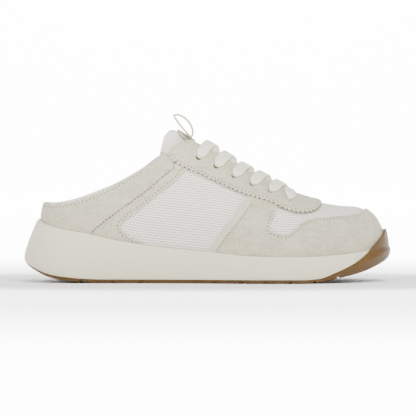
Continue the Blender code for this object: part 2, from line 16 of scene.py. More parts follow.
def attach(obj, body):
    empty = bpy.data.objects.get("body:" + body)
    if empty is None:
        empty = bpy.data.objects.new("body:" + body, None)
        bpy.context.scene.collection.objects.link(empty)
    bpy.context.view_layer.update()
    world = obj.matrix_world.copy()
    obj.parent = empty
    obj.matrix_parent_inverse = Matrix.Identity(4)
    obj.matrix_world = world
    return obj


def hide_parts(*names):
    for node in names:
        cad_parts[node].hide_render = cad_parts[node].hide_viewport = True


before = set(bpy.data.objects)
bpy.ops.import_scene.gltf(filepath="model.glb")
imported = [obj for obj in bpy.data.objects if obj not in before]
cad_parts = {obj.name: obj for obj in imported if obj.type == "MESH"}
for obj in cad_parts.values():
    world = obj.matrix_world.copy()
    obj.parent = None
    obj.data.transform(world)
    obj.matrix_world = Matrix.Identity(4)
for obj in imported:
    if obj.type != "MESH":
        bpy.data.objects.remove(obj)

log = logging.getLogger("shoe")
MM = 0.001
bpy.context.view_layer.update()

Place = tuple[float, float]
Place3 = tuple[float, float, float]
Offset = float | Callable[[np.ndarray, np.ndarray], np.ndarray]


class Side(Enum):
    """The two sides of the foot."""

    OUTER = -1
    INNER = 1


def turn(station: float | np.ndarray) -> np.ndarray:
    """Spreads stations evenly round heel and toe.

    Args:
        station: 0 at the heel and 1 at the toe.

    Returns:
        The same places as shares of a half turn.
    """
    return np.arccos(1.0 - 2.0 * np.clip(station, 0.0, 1.0)) / math.pi


def station_of(share: float | np.ndarray) -> np.ndarray:
    """Undoes turn."""
    return (1.0 - np.cos(np.asarray(share) * math.pi)) / 2.0


def smooth(value: float | np.ndarray) -> np.ndarray:
    """An eased step from 0 to 1."""
    value = np.clip(value, 0.0, 1.0)
    return value * value * (3.0 - 2.0 * value)


def lerp(low, high, part):
    """A place between two values."""
    return low + (high - low) * part


def curve(knots: Sequence[float], values: Sequence[float], at, level_ends: bool = False) -> np.ndarray:
    """A smooth curve through values.

    Args:
        knots: rising places of the values.
        values: what the curve passes through.
        at: where to read it.
        level_ends: whether the curve runs level at both ends.

    Returns:
        The curve's values.
    """
    x, v = np.asarray(knots, float), np.asarray(values, float)
    slopes = np.empty_like(v)
    slopes[1:-1] = (v[2:] - v[:-2]) / (x[2:] - x[:-2])
    slopes[0] = 0.0 if level_ends else (v[1] - v[0]) / (x[1] - x[0])
    slopes[-1] = 0.0 if level_ends else (v[-1] - v[-2]) / (x[-1] - x[-2])
    at = np.clip(np.asarray(at, float), x[0], x[-1])
    i = np.clip(np.searchsorted(x, at, side="right") - 1, 0, len(x) - 2)
    step = x[i + 1] - x[i]
    w = (at - x[i]) / step
    return (
        (1 + 2 * w) * (1 - w) ** 2 * v[i]
        + w * (1 - w) ** 2 * step * slopes[i]
        + w * w * (3 - 2 * w) * v[i + 1]
        + w * w * (w - 1) * step * slopes[i + 1]
    )


@dataclass(frozen=True)
class Crease:
    """A soft trough or ridge along a short line on the upper: stations and rises of its ends, width and depth in mm."""

    start: Place
    end: Place
    width: float
    depth: float


@dataclass(frozen=True)
class Last:
    """The shoe's inner form and the places on it."""

    length: float = 267.2 * MM
    ball_width: float = 97.0 * MM
    heel_rise: float = 49.0 * MM
    instep_rise: float = 117.5 * MM
    heel_fan: float = 32.0 * MM
    toe_fan: float = 28.0 * MM
    heel_back: float = 129.44 * MM
    side_shift: float = -1.48 * MM
    cup_depth: float = 5.0 * MM
    # station, lateral, medial, rim, crest, fullness
    sections: tuple[tuple[float, ...], ...] = (
        (0.00, 0.000, 0.000, 1.000, 0.600, 2.30),
        (0.03, 0.213, 0.213, 0.904, 0.610, 2.30),
        (0.08, 0.300, 0.298, 0.832, 0.650, 2.30),
        (0.14, 0.322, 0.318, 0.775, 0.710, 2.25),
        (0.22, 0.335, 0.325, 0.675, 0.820, 2.20),
        (0.30, 0.347, 0.312, 0.603, 0.935, 2.15),
        (0.36, 0.358, 0.303, 0.565, 1.000, 2.10),
        (0.42, 0.375, 0.300, 0.535, 0.966, 2.10),
        (0.50, 0.410, 0.320, 0.490, 0.870, 2.10),
        (0.58, 0.450, 0.380, 0.440, 0.756, 2.10),
        (0.66, 0.480, 0.460, 0.422, 0.664, 2.10),
        (0.74, 0.475, 0.505, 0.418, 0.570, 2.15),
        (0.82, 0.420, 0.510, 0.432, 0.519, 2.20),
        (0.90, 0.305, 0.450, 0.472, 0.497, 2.25),
        (0.96, 0.155, 0.345, 0.515, 0.480, 2.30),
        (1.00, -0.100, 0.100, 0.561, 0.465, 2.30),
    )
    # length and height in mm that the creases' places are shares of
    crease_field: Place = (267.0, 80.0)
    creases: tuple[Crease, ...] = (
        Crease((0.70, 0.20), (0.77, 0.62), 9.0, -0.55),
        Crease((0.745, 0.16), (0.80, 0.50), 7.0, 0.35),
        Crease((0.80, 0.20), (0.84, 0.46), 8.0, -0.30),
        Crease((0.86, 0.30), (0.90, 0.60), 9.0, 0.35),
        Crease((0.60, 0.14), (0.64, 0.42), 8.0, -0.35),
        Crease((0.30, 0.16), (0.44, 0.30), 12.0, 0.60),
        Crease((0.36, 0.36), (0.50, 0.40), 9.0, -0.45),
        Crease((0.08, 0.14), (0.20, 0.24), 10.0, 0.45),
        Crease((0.10, 0.30), (0.26, 0.40), 6.0, -0.35),
        Crease((0.44, 0.10), (0.50, 0.34), 8.0, 0.30),
        Crease((0.90, 0.75), (0.95, 0.95), 11.0, -0.40),
    )

    def column(self, number: int, share) -> np.ndarray:
        """A column of the sections, read at shares of the turn."""
        knots = [float(turn(row[0])) for row in self.sections]
        return curve(knots, [row[number] for row in self.sections], share, number > 2)

    def along(self, station):
        """The x of a station."""
        return station * self.length - self.heel_back

    def feather(self, side, share) -> np.ndarray:
        """Points of the line where the upper meets the cup's floor."""
        breadth = np.where(side < 0, -self.column(1, share), self.column(2, share))
        rim = self.column(3, share) * self.heel_rise
        return np.stack(
            [self.along(station_of(share)), breadth * self.ball_width + self.side_shift, rim - self.cup_depth], -1
        )

    def crest(self, share) -> np.ndarray:
        """Points over the instep that the sections run up to."""
        station = station_of(share)
        back = np.maximum(0.0, 1.0 - station / 0.45) ** 2 * self.heel_fan
        front = np.maximum(0.0, (station - 0.55) / 0.45) ** 2 * self.toe_fan
        own = turn(station + (back - front) / self.length)
        middle = (self.column(2, own) - self.column(1, own)) / 2.0
        sideways, top = middle * self.ball_width + self.side_shift, self.column(4, own) * self.instep_rise
        return np.stack([self.along(station_of(own)), sideways, top], -1)

    @staticmethod
    def fold(across, over) -> tuple[np.ndarray, np.ndarray, np.ndarray]:
        """Side, share and rise of pattern places.

        Args:
            across: 0 at the heel, 1 at the toe by the outer side and 2 back at the heel by the inner side.
            over: 0 at the feather line, 1 at the crest and up to 2 on the far side.

        Returns:
            The side, the share of the turn and the rise.
        """
        across, over = np.mod(np.asarray(across, float), 2.0), np.asarray(over, float)
        inner = across > 1.0
        side = np.where(inner, 1, -1)
        share = np.where(inner, 2.0 - across, across)
        past = over > 1.0
        return np.where(past, -side, side), share, np.where(past, 2.0 - over, over)

    def wall(self, across, over) -> np.ndarray:
        """Points of the upper's base surface."""
        side, share, rise = self.fold(across, over)
        low, high, fullness = self.feather(side, share), self.crest(share), self.column(5, share)
        angle = np.maximum(rise, 0.0) * math.pi / 2.0
        cosine, sine = np.maximum(np.cos(angle), 0.0), np.sin(angle)
        reach = (cosine**fullness + sine**fullness) ** (1.0 / fullness)
        inward, upward = 1.0 - cosine / reach, sine / reach
        flat = low[..., :2] + (high[..., :2] - low[..., :2]) * inward[..., None]
        return np.concatenate([flat, (low[..., 2] + (high[..., 2] - low[..., 2]) * upward)[..., None]], -1)

    def slack(self, across, over) -> np.ndarray:
        """How far soft folds push the upper out or in, in metres."""
        _, share, rise = self.fold(across, over)
        station, total = station_of(share), 0.0
        long, tall = self.crease_field
        for crease in self.creases:
            dx, dy = (crease.end[0] - crease.start[0]) * long, (crease.end[1] - crease.start[1]) * tall
            px, py = (station - crease.start[0]) * long, (rise - crease.start[1]) * tall
            reach = math.hypot(dx, dy)
            along = np.clip((px * dx + py * dy) / reach**2, 0.0, 1.0)
            away = np.hypot(px - along * dx, py - along * dy)
            total = total + crease.depth * MM * np.exp(-((away / crease.width) ** 2) * 2.0)
        fade = smooth((rise - 0.06) / 0.12)
        return total * fade

    def normal(self, across, over, tiny: float = 1e-4) -> np.ndarray:
        """Outward normals of the base surface."""
        across, over = np.asarray(across, float), np.asarray(over, float)
        lengthwise = self.wall(across + tiny, over) - self.wall(across - tiny, over)
        upward = self.wall(across, over + tiny) - self.wall(across, np.maximum(over - tiny, 0.0))
        normal = np.cross(lengthwise, upward)
        return normal / np.maximum(np.linalg.norm(normal, axis=-1, keepdims=True), 1e-15)

    def surface(self, across, over, offset=0.0) -> np.ndarray:
        """Points at an offset outside the creased surface."""
        across, over = np.broadcast_arrays(np.asarray(across, float), np.asarray(over, float))
        push = self.slack(across, over) + offset
        return self.wall(across, over) + self.normal(across, over) * np.asarray(push)[..., None]

    def scale(self, across, over) -> np.ndarray:
        """Metres per unit across and per unit over."""
        across, over, tiny = np.asarray(across, float), np.asarray(over, float), 1e-3
        wide = np.linalg.norm(self.wall(across + tiny, over) - self.wall(across - tiny, over), axis=-1) / (2 * tiny)
        low = np.maximum(over - tiny, 0.0)
        high = np.linalg.norm(self.wall(across, over + tiny) - self.wall(across, low), axis=-1) / (over + tiny - low)
        return np.stack([np.maximum(wide, 1e-3), np.maximum(high, 1e-3)], -1)

    def rise_at(self, across, z) -> np.ndarray:
        """The rise at which the base surface reaches a height."""
        side, share, _ = self.fold(across, 0.0)
        low, high, fullness = self.feather(side, share)[..., 2], self.crest(share)[..., 2], self.column(5, share)
        upward = np.clip((z - low) / (high - low), 0.0, 1.0)
        return np.arctan2(upward, (1.0 - upward**fullness) ** (1.0 / fullness)) * 2.0 / math.pi

    def rim(self, across) -> np.ndarray:
        """The height of the midsole's rim."""
        return self.column(3, self.fold(across, 0.0)[1]) * self.heel_rise

    def skin(self, across, z, offset) -> np.ndarray:
        """Points near a height and at an offset outside the base surface."""
        across = np.asarray(across, float)
        z = np.broadcast_to(np.asarray(z, float), across.shape)
        rise = self.rise_at(across, z)
        place = self.wall(across, rise) + self.normal(across, rise) * np.broadcast_to(offset, across.shape)[..., None]
        place[..., 2] = np.where(z <= self.rim(across) + 1e-6, z, place[..., 2])
        return place


LAST = Last()


@dataclass(frozen=True)
class Lines:
    """Outlines of the panels on the outer side, each row a station and a rise."""

    collar_edge: tuple[Place, ...] = (
        (0.000, 0.305), (0.029, 0.306), (0.066, 0.318), (0.102, 0.343), (0.138, 0.368), (0.174, 0.398),
        (0.223, 0.444), (0.255, 0.468), (0.293, 0.506), (0.330, 0.556), (0.352, 0.588),
    )
    collar_seam: tuple[Place, ...] = (
        (0.143, 0.000), (0.150, 0.066), (0.181, 0.152), (0.232, 0.247), (0.282, 0.315), (0.327, 0.374), (0.384, 0.478),
    )
    topline: tuple[Place, ...] = (
        (0.000, 0.318), (0.035, 0.332), (0.075, 0.357), (0.115, 0.387), (0.160, 0.420), (0.205, 0.452), (0.250, 0.486),
        (0.293, 0.524), (0.330, 0.572), (0.358, 0.612), (0.386, 0.680), (0.410, 0.765),
    )
    throat: tuple[Place, ...] = (
        (0.432, 0.820), (0.480, 0.805), (0.560, 0.818), (0.640, 0.842), (0.700, 0.865), (0.738, 0.900),
    )
    throat_tip: float = 0.762
    eyestay_end: tuple[Place, ...] = ((0.364, 0.572), (0.376, 0.625), (0.396, 0.690), (0.416, 0.765))
    eyestay_edge: tuple[Place, ...] = (
        (0.372, 0.548), (0.390, 0.524), (0.417, 0.506), (0.460, 0.500), (0.514, 0.496), (0.569, 0.503), (0.624, 0.510),
        (0.658, 0.512), (0.683, 0.502), (0.705, 0.490), (0.730, 0.492), (0.760, 0.508), (0.785, 0.535), (0.807, 0.580),
        (0.825, 0.654), (0.837, 0.760), (0.843, 0.880), (0.846, 1.000),
    )
    eyelets: tuple[Place, ...] = (
        (0.456, 0.630), (0.506, 0.630), (0.557, 0.630), (0.610, 0.636), (0.665, 0.640), (0.722, 0.632),
    )
    quarter_window: tuple[Place, ...] = (
        (0.424, 0.503), (0.386, 0.390), (0.333, 0.302), (0.281, 0.231), (0.246, 0.177), (0.232, 0.141), (0.239, 0.104),
        (0.263, 0.070), (0.301, 0.044), (0.313, 0.000),
    )
    strap_edge: tuple[Place, ...] = (
        (0.478, 0.000), (0.496, 0.075), (0.520, 0.160), (0.546, 0.252), (0.570, 0.345), (0.598, 0.490),
    )
    vamp_window: tuple[Place, ...] = (
        (0.688, 0.490), (0.676, 0.390), (0.664, 0.300), (0.663, 0.260), (0.680, 0.241), (0.704, 0.238), (0.722, 0.268),
        (0.745, 0.347), (0.765, 0.405), (0.786, 0.443), (0.816, 0.480), (0.847, 0.503), (0.880, 0.517), (0.909, 0.533),
        (0.948, 0.574), (0.979, 0.640), (1.000, 0.705),
    )
    tongue_end: tuple[Place, ...] = ((0.338, 0.640), (0.342, 0.720), (0.352, 0.810), (0.362, 0.900), (0.367, 1.000))
    tongue_side: tuple[Place, ...] = ((0.400, 0.600), (0.480, 0.590), (0.580, 0.600), (0.700, 0.680), (0.752, 0.800))


LINES = Lines()


def spread(points: Sequence[Place], pitch: float) -> list[Place]:
    """Evenly spaced pattern places on a smooth run through places.

    Args:
        points: pattern places, across and over.
        pitch: distance between the new places on the surface, in metres.

    Returns:
        The places, first and last kept.
    """
    across, over = split(points)
    size = LAST.scale(across, over)
    middle = (size[1:] + size[:-1]) / 2.0
    lengths = np.hypot(np.diff(across) * middle[:, 0], np.diff(over) * middle[:, 1])
    knots = np.concatenate([[0.0], np.cumsum(np.maximum(lengths, 1e-6))])
    count = max(int(round(knots[-1] / pitch)), 2)
    at = np.linspace(0.0, knots[-1], count + 1)
    return list(zip(curve(knots, across, at).tolist(), curve(knots, over, at).tolist()))


def turned(rows: Sequence[Place]) -> list[Place]:
    """Stations and rises as pattern places."""
    return [(float(turn(station)), rise) for station, rise in rows]


def split(places: Sequence[Place]) -> tuple[np.ndarray, np.ndarray]:
    """Pattern places as two columns, across and over."""
    across, over = np.array(places).T
    return across, over


def over_crest(places: Sequence[Place]) -> list[Place]:
    """The same places on the far side of the crest."""
    return [(across, 2.0 - over) for across, over in places]


def round_crest(places: Sequence[Place]) -> list[Place]:
    """The same places on the far side of the crest, in reverse."""
    return over_crest(places)[::-1]


def round_toe(places: Sequence[Place]) -> list[Place]:
    """The same places on the far side of the toe, in reverse."""
    return [(2.0 - across, over) for across, over in reversed(places)]


def shifted(places: Sequence[Place], out: float) -> list[Place]:
    """A run of places moved to its left by a distance on the surface."""
    across, over = split(places)
    size = LAST.scale(across, over)
    x, y = np.gradient(across) * size[:, 0], np.gradient(over) * size[:, 1]
    length = np.maximum(np.hypot(x, y), 1e-9)
    return list(zip((across - y / length * out / size[:, 0]).tolist(), (over + x / length * out / size[:, 1]).tolist()))


def pinked(places: Sequence[Place], depth: float) -> list[Place]:
    """A zigzag along a run of places, one point at each of them."""
    near, far = shifted(places, depth / 2.0), shifted(places, -depth / 2.0)
    return [near[i] if i % 2 else far[i] for i in range(len(places))]


def height(rows: Sequence[Place], share) -> np.ndarray:
    """The rise of an outline where it passes a share of the turn."""
    return curve([float(turn(row[0])) for row in rows], [row[1] for row in rows], share)


@dataclass(frozen=True)
class Finish:
    """What a material looks like."""

    name: str
    slot: str
    colour: tuple[float, float, float]
    roughness: float
    sheen: float = 0.0
    coat: float = 0.0


SUEDE = Finish("suede", "suede", (0.500, 0.462, 0.335), 0.95, sheen=0.15)
# the cut edge's own darker tone, deepened with painted shade for the notches and panel outlines
EDGE_AND_SHADE = Finish("suede_edge_and_shade", "suede", (0.200, 0.168, 0.115), 0.95)
KNIT = Finish("knit", "knit", (0.900, 0.862, 0.760), 0.92, sheen=0.08)
TONGUE_KNIT = Finish("tongue_knit", "knit", KNIT.colour, 0.92, sheen=0.10)
LINING = Finish("lining", "knit", (0.800, 0.765, 0.670), 0.92, sheen=0.08)
FOOTBED = Finish("footbed", "footbed", (0.700, 0.680, 0.630), 0.95, sheen=0.20)
FOAM = Finish("foam", "foam", (0.740, 0.690, 0.505), 0.62)
GUM = Finish("gum", "gum", (0.094, 0.047, 0.0085), 0.56, coat=0.03)
LACE = Finish("lace", "lace", (0.830, 0.800, 0.640), 0.90, sheen=0.10)
HEM = Finish("hem", "suede", (0.560, 0.522, 0.400), 0.90, sheen=0.10)
WEBBING = Finish("webbing", "webbing", (0.470, 0.440, 0.280), 0.85, sheen=0.10)
THREAD = Finish("thread", "suede", (0.600, 0.570, 0.500), 0.80)
# painted shade: near-black discs laid in needle holes, pinked notches and eyelets
SHADE_DISC = Finish("shade_disc", "suede", (0.070, 0.055, 0.036), 1.00)


class Term:
    """A shader value that takes part in sums."""

    def __init__(self, sheet: "Sheet", socket: bpy.types.NodeSocket) -> None:
        self.sheet, self.socket = sheet, socket

    def _math(self, kind: str, *others: "Term | float") -> "Term":
        return self.sheet.add("ShaderNodeMath", (self, *others), operation=kind)

    def __add__(self, other):
        return self._math("ADD", other)

    def __radd__(self, other):
        return self._math("ADD", other)

    def __sub__(self, other):
        return self._math("SUBTRACT", other)

    def __rsub__(self, other):
        return self.sheet.add("ShaderNodeMath", (other, self), operation="SUBTRACT")

    def __mul__(self, other):
        return self._math("MULTIPLY", other)

    def __rmul__(self, other):
        return self._math("MULTIPLY", other)

    def __truediv__(self, other):
        return self._math("DIVIDE", other)

    def __abs__(self):
        return self._math("ABSOLUTE")

    def wave(self) -> "Term":
        """Sine, from 0 to 1."""
        return self._math("SINE") * 0.5 + 0.5

    def floor(self) -> "Term":
        """Rounds down."""
        return self._math("FLOOR")

    def wrap(self) -> "Term":
        """The part after the point."""
        return self._math("FRACT")

    def step(self, low: float, high: float) -> "Term":
        """An eased step between two values."""
        values = {"Value": self, "From Min": low, "From Max": high}
        return self.sheet.add("ShaderNodeMapRange", values, interpolation_type="SMOOTHSTEP")


class Sheet:
    """A material's node tree, written as sums."""

    def __init__(self, finish: Finish) -> None:
        self.material = bpy.data.materials.new(finish.name)
        self.material.use_nodes = True
        self.tree = self.material.node_tree
        self.shader = self.tree.nodes["Principled BSDF"]
        self.finish = finish
        self.set("Base Color", (*finish.colour, 1.0))
        self.set("Roughness", finish.roughness)
        self.set("Sheen Weight", finish.sheen)
        self.set("Coat Weight", finish.coat)
        self.set("Specular IOR Level", 0.35)

    def set(self, name: str, value) -> None:
        """Puts a constant on a socket of the shader."""
        self.shader.inputs[name].default_value = value

    def add(self, kind: str, values: dict | Sequence = (), output: int | str = 0, **settings) -> Term:
        """Makes a node.

        Args:
            kind: the node's type.
            values: what its inputs take, by place or by name: terms or constants.
            output: which of its outputs is used.
            **settings: the node's own settings.

        Returns:
            The chosen output.
        """
        node = self.tree.nodes.new(kind)
        for name, value in settings.items():
            setattr(node, name, value)
        pairs = values.items() if isinstance(values, dict) else enumerate(values)
        for name, value in pairs:
            if isinstance(value, Term):
                self.tree.links.new(value.socket, node.inputs[name])
            else:
                node.inputs[name].default_value = value
        return Term(self, node.outputs[output])

    def object_place(self) -> Term:
        """The place on the object, in metres."""
        return self.add("ShaderNodeTexCoord", output="Object")

    def uv(self) -> Term:
        """The place on the pattern, in metres along and up."""
        return self.add("ShaderNodeUVMap", output="UV", uv_map="pattern")

    def parts(self, place: Term) -> tuple[Term, Term, Term]:
        """The three coordinates of a place."""
        term = self.add("ShaderNodeSeparateXYZ", {0: place})
        outputs = term.socket.node.outputs
        return tuple(Term(self, outputs[i]) for i in range(3))

    def noise(self, place: Term, scale: float, detail: float = 3.0, stretch: Place3 = (1, 1, 1)) -> Term:
        """Soft random values from 0 to 1."""
        if stretch != (1, 1, 1):
            place = self.add("ShaderNodeMapping", {"Vector": place, "Scale": stretch})
        return self.add("ShaderNodeTexNoise", {"Vector": place, "Scale": scale, "Detail": detail, "Roughness": 0.55})

    def mix(self, part: Term | float, first, second) -> Term:
        """A blend of two colours."""
        term = self.add("ShaderNodeMix", {"Factor": part}, data_type="RGBA", output=2)
        for name, value in (("A", first), ("B", second)):
            socket = next(s for s in term.socket.node.inputs if s.name == name and s.type == "RGBA")
            if isinstance(value, Term):
                self.tree.links.new(value.socket, socket)
            else:
                socket.default_value = (*value, 1.0)
        return term

    def feed(self, name: str, value: Term) -> None:
        """Leads a varying value to the shader."""
        self.tree.links.new(value.socket, self.shader.inputs[name])

    def tint(self, part: Term, dark: float, light: float) -> None:
        """Colours the material from a darker to a lighter tone of its own colour."""
        self.feed("Base Color", self.mix(part, shade(self.finish.colour, dark), shade(self.finish.colour, light)))

    def bump(self, relief: Term, depth: float, strength: float = 1.0) -> None:
        """Raises the surface by a relief of 0 to 1, deep in metres."""
        values = {"Height": relief, "Distance": depth, "Strength": strength}
        self.feed("Normal", self.add("ShaderNodeBump", values, output="Normal"))


def shade(colour: tuple[float, float, float], factor: float) -> tuple[float, float, float]:
    """A colour made lighter or darker."""
    return tuple(min(c * factor, 1.0) for c in colour)


def suede(finish: Finish) -> bpy.types.Material:
    """Napped suede: brushed patches, short fibres and a few rubbed places."""
    sheet = Sheet(finish)
    place = sheet.object_place()
    patches = sheet.noise(place, 55.0, 4.0, (1.0, 1.0, 1.7))
    fibres = sheet.noise(place, 820.0, 3.0, (1.0, 1.0, 0.6))
    streaks = sheet.noise(place, 260.0, 4.0, (0.55, 1.0, 1.3))
    tone = patches * 0.25 + streaks * 0.30 + fibres * 0.45
    sheet.tint(tone.step(0.38, 0.62), 0.82, 1.14)
    sheet.feed("Roughness", fibres * 0.12 + 0.86)
    sheet.bump(fibres * 0.6 + streaks * 0.4, 0.55 * MM, 0.85)
    return sheet.material


def raw_edge_and_shade(finish: Finish) -> bpy.types.Material:
    """The cut edge of the suede, its fibres darker and loose, darkened further with painted shade that outlines the
    panels and fills the pinked notches.
    """
    sheet = Sheet(finish)
    fibres = sheet.noise(sheet.object_place(), 1400.0, 2.0)
    sheet.tint(fibres.step(0.3, 0.7), 0.75, 1.35)
    sheet.bump(fibres, 0.3 * MM, 0.5)
    return sheet.material


def spacer_knit(
    finish: Finish, pitch: float = 2.30 * MM, row: float = 2.00 * MM, hole: float = 1.0
) -> bpy.types.Material:
    """Spacer mesh: rows of small openings between raised ribs of yarn, the openings darkened with painted shade.

    Args:
        finish: the yarn's colour and gloss.
        pitch: distance between openings along a row.
        row: distance between rows.
        hole: how strong the painted shade in the openings is.

    Returns:
        The material.
    """
    sheet = Sheet(finish)
    u, v, _ = sheet.parts(sheet.uv())
    wander = sheet.noise(sheet.object_place(), 260.0, 2.0) - 0.5
    line = v / row + wander * 0.10
    lane = line.floor()
    along = u / pitch + (lane * 0.5).wrap() + wander * 0.16
    dx, dy = (along.wrap() - 0.5) * 2.0, (line.wrap() - 0.5) * 2.0
    away = (dx * dx * 1.5 + dy * dy * 3.2).step(0.10, 1.05)
    yarn = (along * (2 * math.pi * 3.0)).wave() * 0.5 + (line * (2 * math.pi)).wave() * 0.5
    fine = sheet.noise(sheet.object_place(), 2200.0, 2.0)
    open_part = 1.0 - away
    base = sheet.mix(fine * 0.35 + yarn * 0.25, shade(finish.colour, 0.95), shade(finish.colour, 1.06))
    # painted shade: the colour the openings are darkened towards
    dark = (0.130, 0.098, 0.062)
    sheet.feed("Base Color", sheet.mix(open_part * (0.92 * hole), base, dark))
    sheet.feed("Roughness", open_part * 0.05 + 0.90)
    sheet.bump(away * 0.70 + yarn * 0.14 + fine * 0.16, 0.55 * MM, 0.75)
    return sheet.material


def soft_textile(finish: Finish) -> bpy.types.Material:
    """A plain brushed cloth."""
    sheet = Sheet(finish)
    place = sheet.object_place()
    x, y, z = sheet.parts(place)
    weave = (x * 5200.0).wave() * (y * 5200.0 + z * 2600.0).wave()
    tone = sheet.noise(place, 60.0, 3.0)
    sheet.tint(tone * 0.6 + weave * 0.3, 0.92, 1.06)
    sheet.bump(weave * 0.6 + sheet.noise(place, 1600.0, 2.0) * 0.4, 0.25 * MM, 0.5)
    return sheet.material


def moulded_foam(finish: Finish) -> bpy.types.Material:
    """Moulded foam with a fine slanting tooth and faint handling marks."""
    sheet = Sheet(finish)
    place = sheet.object_place()
    x, y, z = sheet.parts(place)
    lines = ((x + z * 0.9 + y * 0.4) * (2 * math.pi / (1.5 * MM))).wave()
    cross = ((x - z * 1.1 - y * 0.4) * (2 * math.pi / (2.6 * MM))).wave()
    tooth = lines * 0.65 + cross * 0.35
    clouds = sheet.noise(place, 22.0, 3.0)
    grain = sheet.noise(place, 1500.0, 2.0)
    tone = clouds * 0.55 + grain * 0.20 + tooth * 0.25
    sheet.tint(tone.step(0.2, 0.8), 0.955, 1.035)
    sheet.feed("Roughness", clouds * 0.10 + 0.56)
    sheet.bump(tooth * 0.7 + grain * 0.3, 0.16 * MM, 0.40)
    return sheet.material


def gum_rubber(finish: Finish) -> bpy.types.Material:
    """Gum rubber, slightly cloudy, with a soft gloss."""
    sheet = Sheet(finish)
    place = sheet.object_place()
    clouds = sheet.noise(place, 35.0, 4.0)
    grain = sheet.noise(place, 1100.0, 2.0)
    sheet.tint(clouds.step(0.3, 0.7), 0.86, 1.18)
    sheet.feed("Roughness", clouds * 0.14 + grain * 0.08 + 0.40)
    sheet.bump(grain, 0.12 * MM, 0.35)
    return sheet.material


def woven(finish: Finish, wide: float, rib: float = 0.95 * MM) -> bpy.types.Material:
    """A flat woven tape or lace: a herringbone of small ribs with a plain selvedge."""
    sheet = Sheet(finish)
    u, v, _ = sheet.parts(sheet.uv())
    side = abs(v) / (wide / 2.0)
    slant = u / rib + abs(v) / (rib * 1.1)
    ribs = (slant * (2 * math.pi)).wave()
    strands = (v * (2 * math.pi / (0.75 * MM))).wave()
    hem = side.step(0.80, 0.92)
    relief = ribs * 0.6 + strands * 0.4
    tone = relief * 0.6 + sheet.noise(sheet.object_place(), 300.0, 2.0) * 0.5 + hem * 0.1
    sheet.tint(tone.step(0.1, 0.95), 0.86, 1.07)
    sheet.bump(relief, 0.28 * MM, 0.6)
    return sheet.material


def plain(finish: Finish) -> bpy.types.Material:
    """A finish with no pattern of its own."""
    return Sheet(finish).material


class Wardrobe:
    """The shoe's materials, each made once."""

    def __init__(self) -> None:
        self.suede = suede(SUEDE)
        self.suede_edge_and_shade = raw_edge_and_shade(EDGE_AND_SHADE)
        self.knit = spacer_knit(KNIT)
        self.tongue_knit = spacer_knit(TONGUE_KNIT, 1.9 * MM, 1.6 * MM, 0.50)
        self.lining = soft_textile(LINING)
        self.footbed = soft_textile(FOOTBED)
        self.foam = moulded_foam(FOAM)
        self.gum = gum_rubber(GUM)
        self.lace = woven(LACE, 8.0 * MM)
        self.webbing = woven(WEBBING, 12.0 * MM, 1.3 * MM)
        self.hem = soft_textile(HEM)
        self.thread = plain(THREAD)
        self.shade_disc = plain(SHADE_DISC)


FLAT = (300.0 * MM, 95.0 * MM)
GAP = 0.3 * MM
SHELL_WALL = 2.0 * MM
COLLAR_PAD = 2.5 * MM
COLLAR_SWELL = 1.1 * MM
PANEL_TOP = 1.6 * MM
BAND_TOP = 1.45 * MM
STAY_TOP = 2.5 * MM
TONGUE_TAB = 1.2 * MM


def pattern_lengths(across: np.ndarray, over: np.ndarray) -> np.ndarray:
    """Distances in metres along the shoe and up from the feather line."""
    knots = np.linspace(-1.0, 3.0, 801)
    step = LAST.scale(knots, np.full_like(knots, 0.3))[:, 0] * (knots[1] - knots[0])
    along = np.interp(across, knots, np.cumsum(step))
    parts = (np.arange(8) + 0.5) / 8.0
    up = sum(LAST.scale(across, over * part)[:, 1] for part in parts) / 8.0 * over
    return np.stack([along, up], -1)


def kept(name: str, mesh: bmesh.types.BMesh) -> bpy.types.Mesh:
    """A finished mesh; the one it was made with is freed."""
    data = bpy.data.meshes.new(name)
    mesh.to_mesh(data)
    mesh.free()
    return data


def linked(name: str, data: bpy.types.ID) -> bpy.types.Object:
    """A new object in the scene."""
    made = bpy.data.objects.new(name, data)
    bpy.context.scene.collection.objects.link(made)
    return made


def grid(mesh: bmesh.types.BMesh, count: int, steps: int) -> list[tuple[bmesh.types.BMVert, int, int]]:
    """A square sheet to be bent, as its vertices with their column and row."""
    bmesh.ops.create_grid(mesh, x_segments=count, y_segments=steps, size=0.5)
    return [(v, round((v.co.x + 0.5) * count), round((v.co.y + 0.5) * steps)) for v in mesh.verts]


def lay_pattern(mesh: bmesh.types.BMesh, layer, flat: dict[bmesh.types.BMVert, Place]) -> None:
    """Gives every corner the flat place of its vertex."""
    for face in mesh.faces:
        for loop in face.loops:
            loop[layer].uv = flat[loop.vert]


